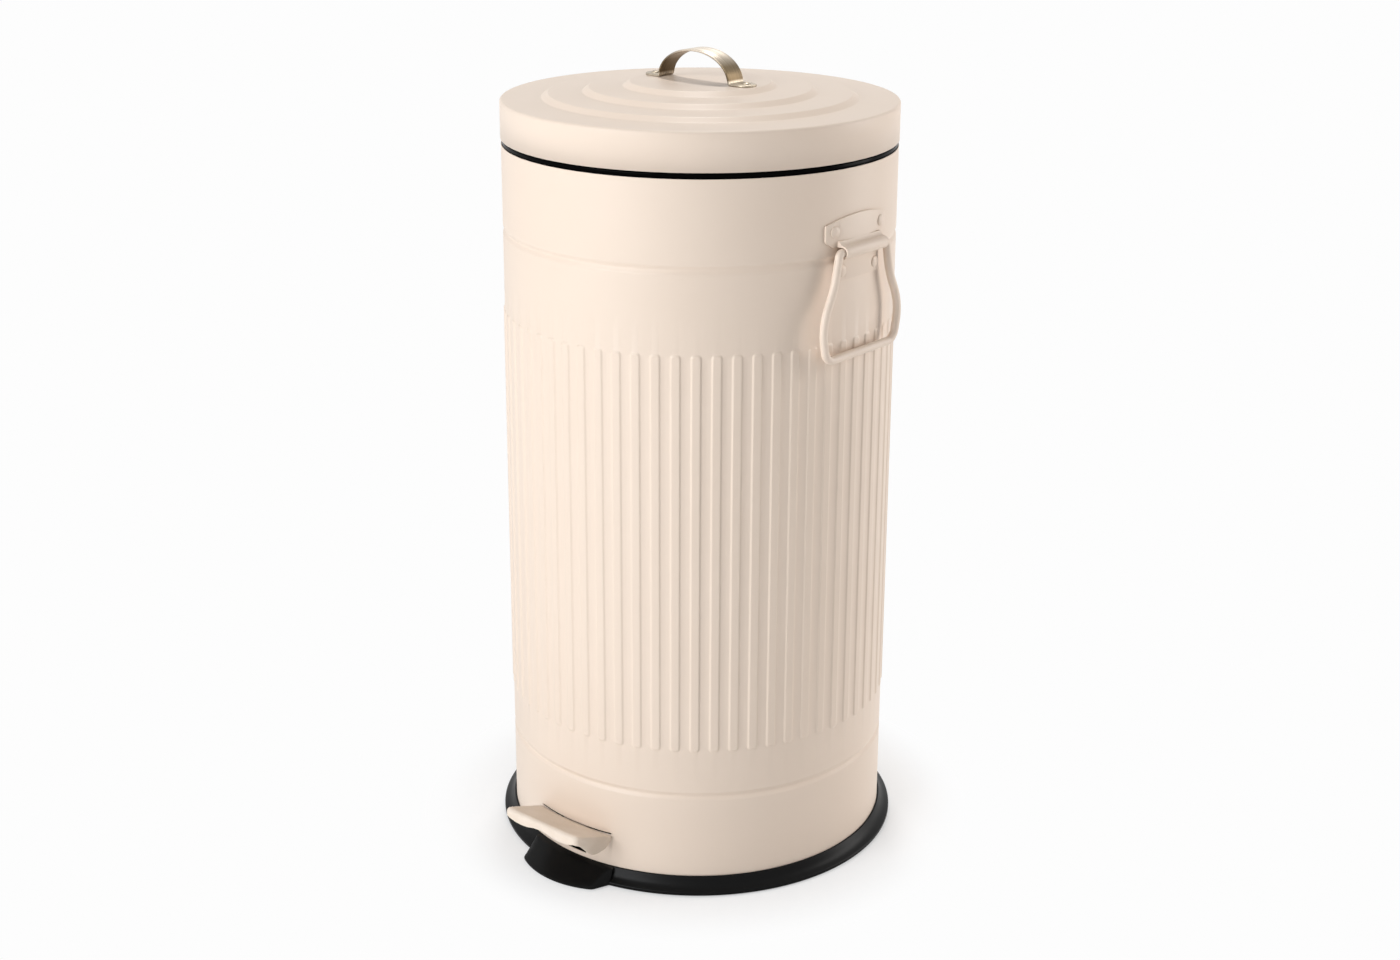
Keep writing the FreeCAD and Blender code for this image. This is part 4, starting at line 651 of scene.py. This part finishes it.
# %% All rivets
HANDLE_UP = 486
PLATE_RIVETS = ((26.8, 14.3), (19.5, -14.5))
BRACKET_TOP, BRACKET_TALL = 522, 22
both = (-1, 1)
rivet_heads("strap_rivet_heads", [((side * 43.5, 0, LID_TOP + THICK), (0, 0, 1)) for side in both], "lid",
            ["lid_handle_rivets"], champagne)
for side, facing in (("right", 0), ("left", 180)):
    spots = [on_wall(facing, sign * beside, HANDLE_UP + up) for beside, up in PLATE_RIVETS for sign in both]
    rivet_heads(f"plate_rivet_heads_{side}", spots, "bin", [f"handle_rivets_{side}"], cream,
                radius=4.2)
spots = [on_wall(90, sign * 16, BRACKET_TOP - share * BRACKET_TALL)
         for share in (0.23, 0.77) for sign in both]
rivet_heads("bracket_rivet_heads", spots, "bin", ["hinge_rivets"], cream)
rivet_heads("leaf_rivet_heads", [((side * 6.875, 148.8, 560), (0, 1, 0)) for side in both], "lid",
            ["lid_arm_rivets"], cream)

# %% [markdown]
# ## Carrying handles
# Each handle is 6 mm wire, closed through the channel of its plate. Its path is the real bending plan:
# straight runs and the radius at each bend.

# %% Wire handles
WIRE, WIRE_OUT = 3.0, 151.0
HALF_PLAN = (((28, HANDLE_UP), 4), ((33, 462), 60), ((46.5, 436), 38), ((40.5, 410), 9.5))
for side, sign in (("right", 1), ("left", -1)):
    x = sign * WIRE_OUT
    plan = [((x, 0.3, HANDLE_UP), 0)] + [((x, y, z), bend) for (y, z), bend in HALF_PLAN]
    plan += [((x, -y, z), bend) for (y, z), bend in HALF_PLAN[::-1]] + [((x, -0.3, HANDLE_UP), 0)]
    points, faces = tube(rounded(plan, step=5), WIRE)
    piece(f"wire_handle_{side}", points, faces, f"handle_{side}", [f"bail_{side}"], cream,
          hard=50)

# %% [markdown]
# ## Pedal pad
# The pad is pressed from 1.4 mm sheet: a sloping tread, a rounded nose with a lip in front, and side flanges
# that dip into a lobe where the lever's side would show. The lip dips a little on each side of its middle.
# A cube rounded by modifiers would lose these edges, so each height is a function of the distance in front of
# the drum's axis, read off between a few measured spots.

# %% Pad heights
FRONT, HALF, BEHIND = 183.0, 37.2, 148.7
TREAD_BACK, TREAD_FRONT, STEP_AT, STEP = 38.4, 52.5, 175.0, 0.5
NOSE, SIDE, CORNER = 2.8, 0.9, 4.5
TREAD = ((144.0, TREAD_BACK), (STEP_AT, 50.1), (FRONT, TREAD_FRONT))
FLANGE = ((144.0, 38.2), (146.0, 34.2), (148.5, 31.8), (151.0, 30.6), (160.0, 30.2), (164.5, 31.0),
          (168.5, 33.8), (172.5, 38.4), (176.0, 42.0), (179.5, 44.9), (183.0, 46.3))
LIP_DIP = ((0, 0), (6, 0.4), (13, 2.0), (19, 2.6), (27, 2.0), (HALF - CORNER, 0.6))


def between(spots, at):
    """The height at a distance, on straight lines from spot to spot."""
    return float(np.interp(at, *zip(*spots)))


def tread(back):
    """Height of the tread: an even slope, with a low step before the nose."""
    return between(TREAD, back) + STEP * float(soft(back - STEP_AT))


print("tread:", tread(BEHIND), "to", tread(FRONT - NOSE))


# %% [markdown]
# The pad's edge seen from above is a ring of points. It is drawn once for the flange's lower edge and then at
# each step of the bend over the nose, where it moves inward and up.

# %% Pad edge
STRIPS, SIDE_ROWS = 10, 20


def pad_ring(bend, down):
    """The pad's edge from the left rear corner to the middle of the front, at one step of the bend."""
    ring = []
    rear = math.sqrt(BEHIND ** 2 - HALF ** 2)
    side = [*np.linspace(rear, STEP_AT - 1.5, SIDE_ROWS), *np.linspace(STEP_AT - 0.2, STEP_AT + 1.2, 5),
            STEP_AT + 2.2, FRONT - CORNER]
    turn = [(HALF - CORNER + CORNER * math.sin(a), FRONT - CORNER + CORNER * math.cos(a))
            for a in np.radians(np.linspace(81, 0, 10))]
    front = [((HALF - CORNER) * (1 - 2 * strip / STRIPS), FRONT) for strip in range(1, STRIPS // 2 + 1)]
    for x, back in [(HALF, back) for back in side] + turn + front:
        size = SIDE + (NOSE - SIDE) * float(soft((back - FRONT + 12) / 8))
        share = np.clip((back - FRONT + CORNER) / CORNER, 0, 1)
        centre = np.array((min(x, HALF - CORNER), FRONT - CORNER if share > 0 else back))
        inward = centre - (x, back)
        inward = inward / max(np.linalg.norm(inward), 1e-9)
        if down:
            height = between(FLANGE, back) - (between(LIP_DIP, x) if share == 1 else 0)
        else:
            height = tread(min(back, FRONT - NOSE)) - size * (1 - math.sin(bend))
        x, y = np.array((x, back)) + inward * size * (1 - math.cos(bend))
        ring.append((x, -y, height))
    return ring


half_rings = [pad_ring(0, True)] + [pad_ring(math.radians(bend), False) for bend in (0, 18, 36, 54, 72, 90)]
rings = [[(-x, y, z) for x, y, z in ring] + ring[-2::-1] for ring in half_rings]
points = [point for ring in rings for point in ring]
size = len(rings[0])
faces = []
for ring in range(len(rings) - 1):
    low, high = ring * size, (ring + 1) * size
    faces += [[low + i, low + i + 1, high + i + 1, high + i] for i in range(size - 1)]
print("pad edge:", len(rings), "rings of", size, "points")

# %% [markdown]
# The tread is filled with strips that run from the drum to the nose. Their front ends are the ring's own
# points, so nothing pinches there, and their back ends follow the drum's round.

# %% Pad surface
last = (len(rings) - 1) * size
half_count = len(half_rings[0]) - STRIPS // 2
strips = [[last + number for number in range(half_count)]]
for share in np.linspace(0, 1, STRIPS + 1)[1:-1]:
    start = len(points)
    for number in range(half_count):
        left, right = points[last + number], points[last + size - 1 - number]
        x = left[0] + (right[0] - left[0]) * share
        fade = max(0.0, 1 - number / (SIDE_ROWS - 1))
        bulge = (math.sqrt(BEHIND ** 2 - x ** 2) - math.sqrt(BEHIND ** 2 - HALF ** 2)) * fade
        points.append((x, left[1] - bulge, left[2] + bulge * 0.36))
    strips.append([start + number for number in range(half_count)])
strips.append([last + size - 1 - number for number in range(half_count)])
for one, other in zip(strips, strips[1:]):
    faces += [[one[i], one[i + 1], other[i + 1], other[i]] for i in range(half_count - 1)]
pad = piece("pedal_pressing", points, faces, "pedal", ["pedal_pad"], pedal_cream, hard=50)
thick = pad.modifiers.new("sheet", "SOLIDIFY")
thick.thickness = 1.4 * MM
thick.offset = -1
soften = pad.modifiers.new("edge", "BEVEL")
soften.width, soften.segments, soften.limit_method = 0.35 * MM, 2, "ANGLE"
soften.angle_limit = math.radians(50)

# %% [markdown]
# ## Pieces that keep their measured shape
# Brackets, pins, the rod, the lever and the bucket already have their real form. They get their finish, and
# the plates, the lever, the guide and the feet get their cut edges rounded by a Bevel modifier.

# %% Finishes and softened edges
finishes = {
    cream: ["handle_plate_right", "handle_plate_left", "hinge_bracket", "lid_hinge_arm", "pedal_lever",
            "rod_guide_rivets"],
    pedal_cream: ["pedal_rivets"],
    zinc: ["pedal_pivot_pin", "pedal_pivot_clips", "hinge_pin", "push_rod", "rod_caps", "rod_guide",
           "bucket_bail"],
    bucket_plastic: ["inner_bucket"],
    rubber: ["rubber_feet"],
}
softened = {"handle_plate_right": 0.25, "handle_plate_left": 0.25, "hinge_bracket": 0.4, "lid_hinge_arm": 0.4,
            "pedal_lever": 0.5, "rubber_feet": 0.8, "rod_guide": 0.4}
for material, names in finishes.items():
    for name in names:
        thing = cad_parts[name]
        thing.data.materials.clear()
        thing.data.materials.append(material)
        if name in softened:
            weld = thing.modifiers.new("weld", "WELD")
            weld.merge_threshold = 1e-6
            edge = thing.modifiers.new("edge", "BEVEL")
            edge.width = softened[name] * MM
            edge.segments = 3
            edge.limit_method = "ANGLE"
            edge.angle_limit = math.radians(40)
print("softened edges:", len(softened), "pieces")

# %% [markdown]
# ## Studio
# The floor and the background are white in the picture and the lamps stay at a plain level, so that the
# paint renders about as its colour is written. The floor is a matt white that turns into even white away
# from the bin, which keeps the contact shadow and hides where the floor ends. The even white is for the
# camera and for reflections only, and doesn't light the bin.

# %% Floor
FLOOR_HALF, SHADE_NEAR, SHADE_FAR = 9, 0.15, 0.22
floor_mesh = bpy.data.meshes.new("floor")
floor_mesh.from_pydata([(x * FLOOR_HALF, y * FLOOR_HALF, 0) for x, y in ((-1, -1), (1, -1), (1, 1), (-1, 1))],
                       [], [(0, 1, 2, 3)])
floor = bpy.data.objects.new("floor", floor_mesh)
bpy.context.scene.collection.objects.link(floor)
white_floor, tree = finish("white_floor")
place = node(tree, "ShaderNodeTexCoord", {})
far = node(tree, "ShaderNodeVectorMath", {0: place.outputs["Object"]}, operation="LENGTH")
fade = node(tree, "ShaderNodeMapRange", {
    "Value": far.outputs["Value"], "From Min": SHADE_NEAR, "From Max": SHADE_FAR, "To Min": 0.42,
    "To Max": 1.0}, interpolation_type="SMOOTHSTEP")
matt = node(tree, "ShaderNodeBsdfDiffuse", {"Color": linear("FAFAFA")})
glow = node(tree, "ShaderNodeEmission", {"Color": linear("FDFDFD"), "Strength": 1.0})
rays = node(tree, "ShaderNodeLightPath", {})
mirrored = node(tree, "ShaderNodeMath", {0: rays.outputs["Is Camera Ray"], 1: rays.outputs["Is Glossy Ray"]},
                operation="MAXIMUM")
seen = node(tree, "ShaderNodeMath", {0: mirrored.outputs["Value"], 1: rays.outputs["Is Transmission Ray"]},
            operation="MAXIMUM")
share = node(tree, "ShaderNodeMath", {0: fade.outputs["Result"], 1: seen.outputs["Value"]},
             operation="MULTIPLY")
blend = node(tree, "ShaderNodeMixShader", {
    0: share.outputs["Value"], 1: matt.outputs["BSDF"], 2: glow.outputs["Emission"]})
node(tree, "ShaderNodeOutputMaterial", {"Surface": blend.outputs["Shader"]})
floor_mesh.materials.append(white_floor)
print("floor:", 2 * FLOOR_HALF, "m wide")

# %% [markdown]
# The world does the same: what the camera and the reflections see is white, and what lights the bin is dim,
# so that the lamps can draw its shape.

# %% World
world = bpy.data.worlds.new("studio")
bpy.context.scene.world = world
world.use_nodes = True
tree = world.node_tree
tree.nodes.clear()
rays = node(tree, "ShaderNodeLightPath", {})
seen = node(tree, "ShaderNodeMath", {0: rays.outputs["Is Camera Ray"], 1: rays.outputs["Is Glossy Ray"]},
            operation="MAXIMUM")
seen_through = node(tree, "ShaderNodeMath", {
    0: seen.outputs["Value"], 1: rays.outputs["Is Transmission Ray"]}, operation="MAXIMUM")
dim = node(tree, "ShaderNodeBackground", {"Color": (1, 1, 1, 1), "Strength": 0.15})
bright = node(tree, "ShaderNodeBackground", {"Color": linear("FDFDFD"), "Strength": 1.0})
sky = node(tree, "ShaderNodeMixShader", {
    0: seen_through.outputs["Value"], 1: dim.outputs["Background"], 2: bright.outputs["Background"]})
node(tree, "ShaderNodeOutputWorld", {"Surface": sky.outputs["Shader"]})
print("world:", world.name)

# %% [markdown]
# Three soft lamps stand around the bin. The large, faintly cool one in front on the left shapes the drum from
# bright to dim, a tall and faintly warm one beside it on the right lifts the far edge, and a small one above
# and behind the bin draws the crisp shadow of the strap on the lid.

# %% Lamps
VIEW = math.radians(40.1)
middle = Vector((0, 0, 0.3))


def softbox(name, beside, above, distance, width, height, power, colour=(1, 1, 1)):
    """A lamp looking at the bin: degrees beside the camera and above the floor, metres and watts."""
    turn, rise = VIEW + math.radians(beside), math.radians(above)
    lamp = bpy.data.lights.new(name, "AREA")
    lamp.shape = "RECTANGLE"
    lamp.size, lamp.size_y, lamp.energy, lamp.color = width, height, power, colour
    thing = bpy.data.objects.new(name, lamp)
    away = Vector((math.sin(turn) * math.cos(rise), -math.cos(turn) * math.cos(rise), math.sin(rise)))
    thing.location = middle + away * distance
    thing.rotation_euler = (-away).to_track_quat("-Z", "Y").to_euler()
    bpy.context.scene.collection.objects.link(thing)
    print(f"{name}: {power} W")


softbox("key", -46, 22, 2.2, 1.4, 1.6, 43.5, colour=(0.955, 0.975, 1.0))
softbox("side", 98, 15, 2.0, 0.9, 1.6, 25, colour=(0.96, 0.93, 0.91))
softbox("back_top", 180, 68, 2.1, 0.25, 0.25, 16)

# %% [markdown]
# ## Camera
# The lid's ellipse is flat and the base's is round, which says that the camera stands close, a metre and a
# half away and a little above the lid. It looks down by eighteen degrees. The small lens shift only frames
# the bin as the photograph does.

# %% Camera
lens = bpy.data.cameras.new("camera")
lens.sensor_width = 36
lens.lens = 53.11
lens.shift_x, lens.shift_y = 0.001, -0.045
AWAY, HEIGHT, LOOK_DOWN, TILT = 1.52, 0.82, 0.3131, 0.0048
camera = bpy.data.objects.new("camera", lens)
camera.location = (AWAY * math.sin(VIEW), -AWAY * math.cos(VIEW), HEIGHT)
camera.rotation_euler = (Matrix.Rotation(VIEW, 3, "Z") @ Matrix.Rotation(math.pi / 2 - LOOK_DOWN, 3, "X")
                         @ Matrix.Rotation(TILT, 3, "Z")).to_euler()
bpy.context.scene.collection.objects.link(camera)
bpy.context.scene.camera = camera
bpy.context.scene.view_settings.view_transform = "Standard"
print("camera:", tuple(round(c, 3) for c in camera.location))
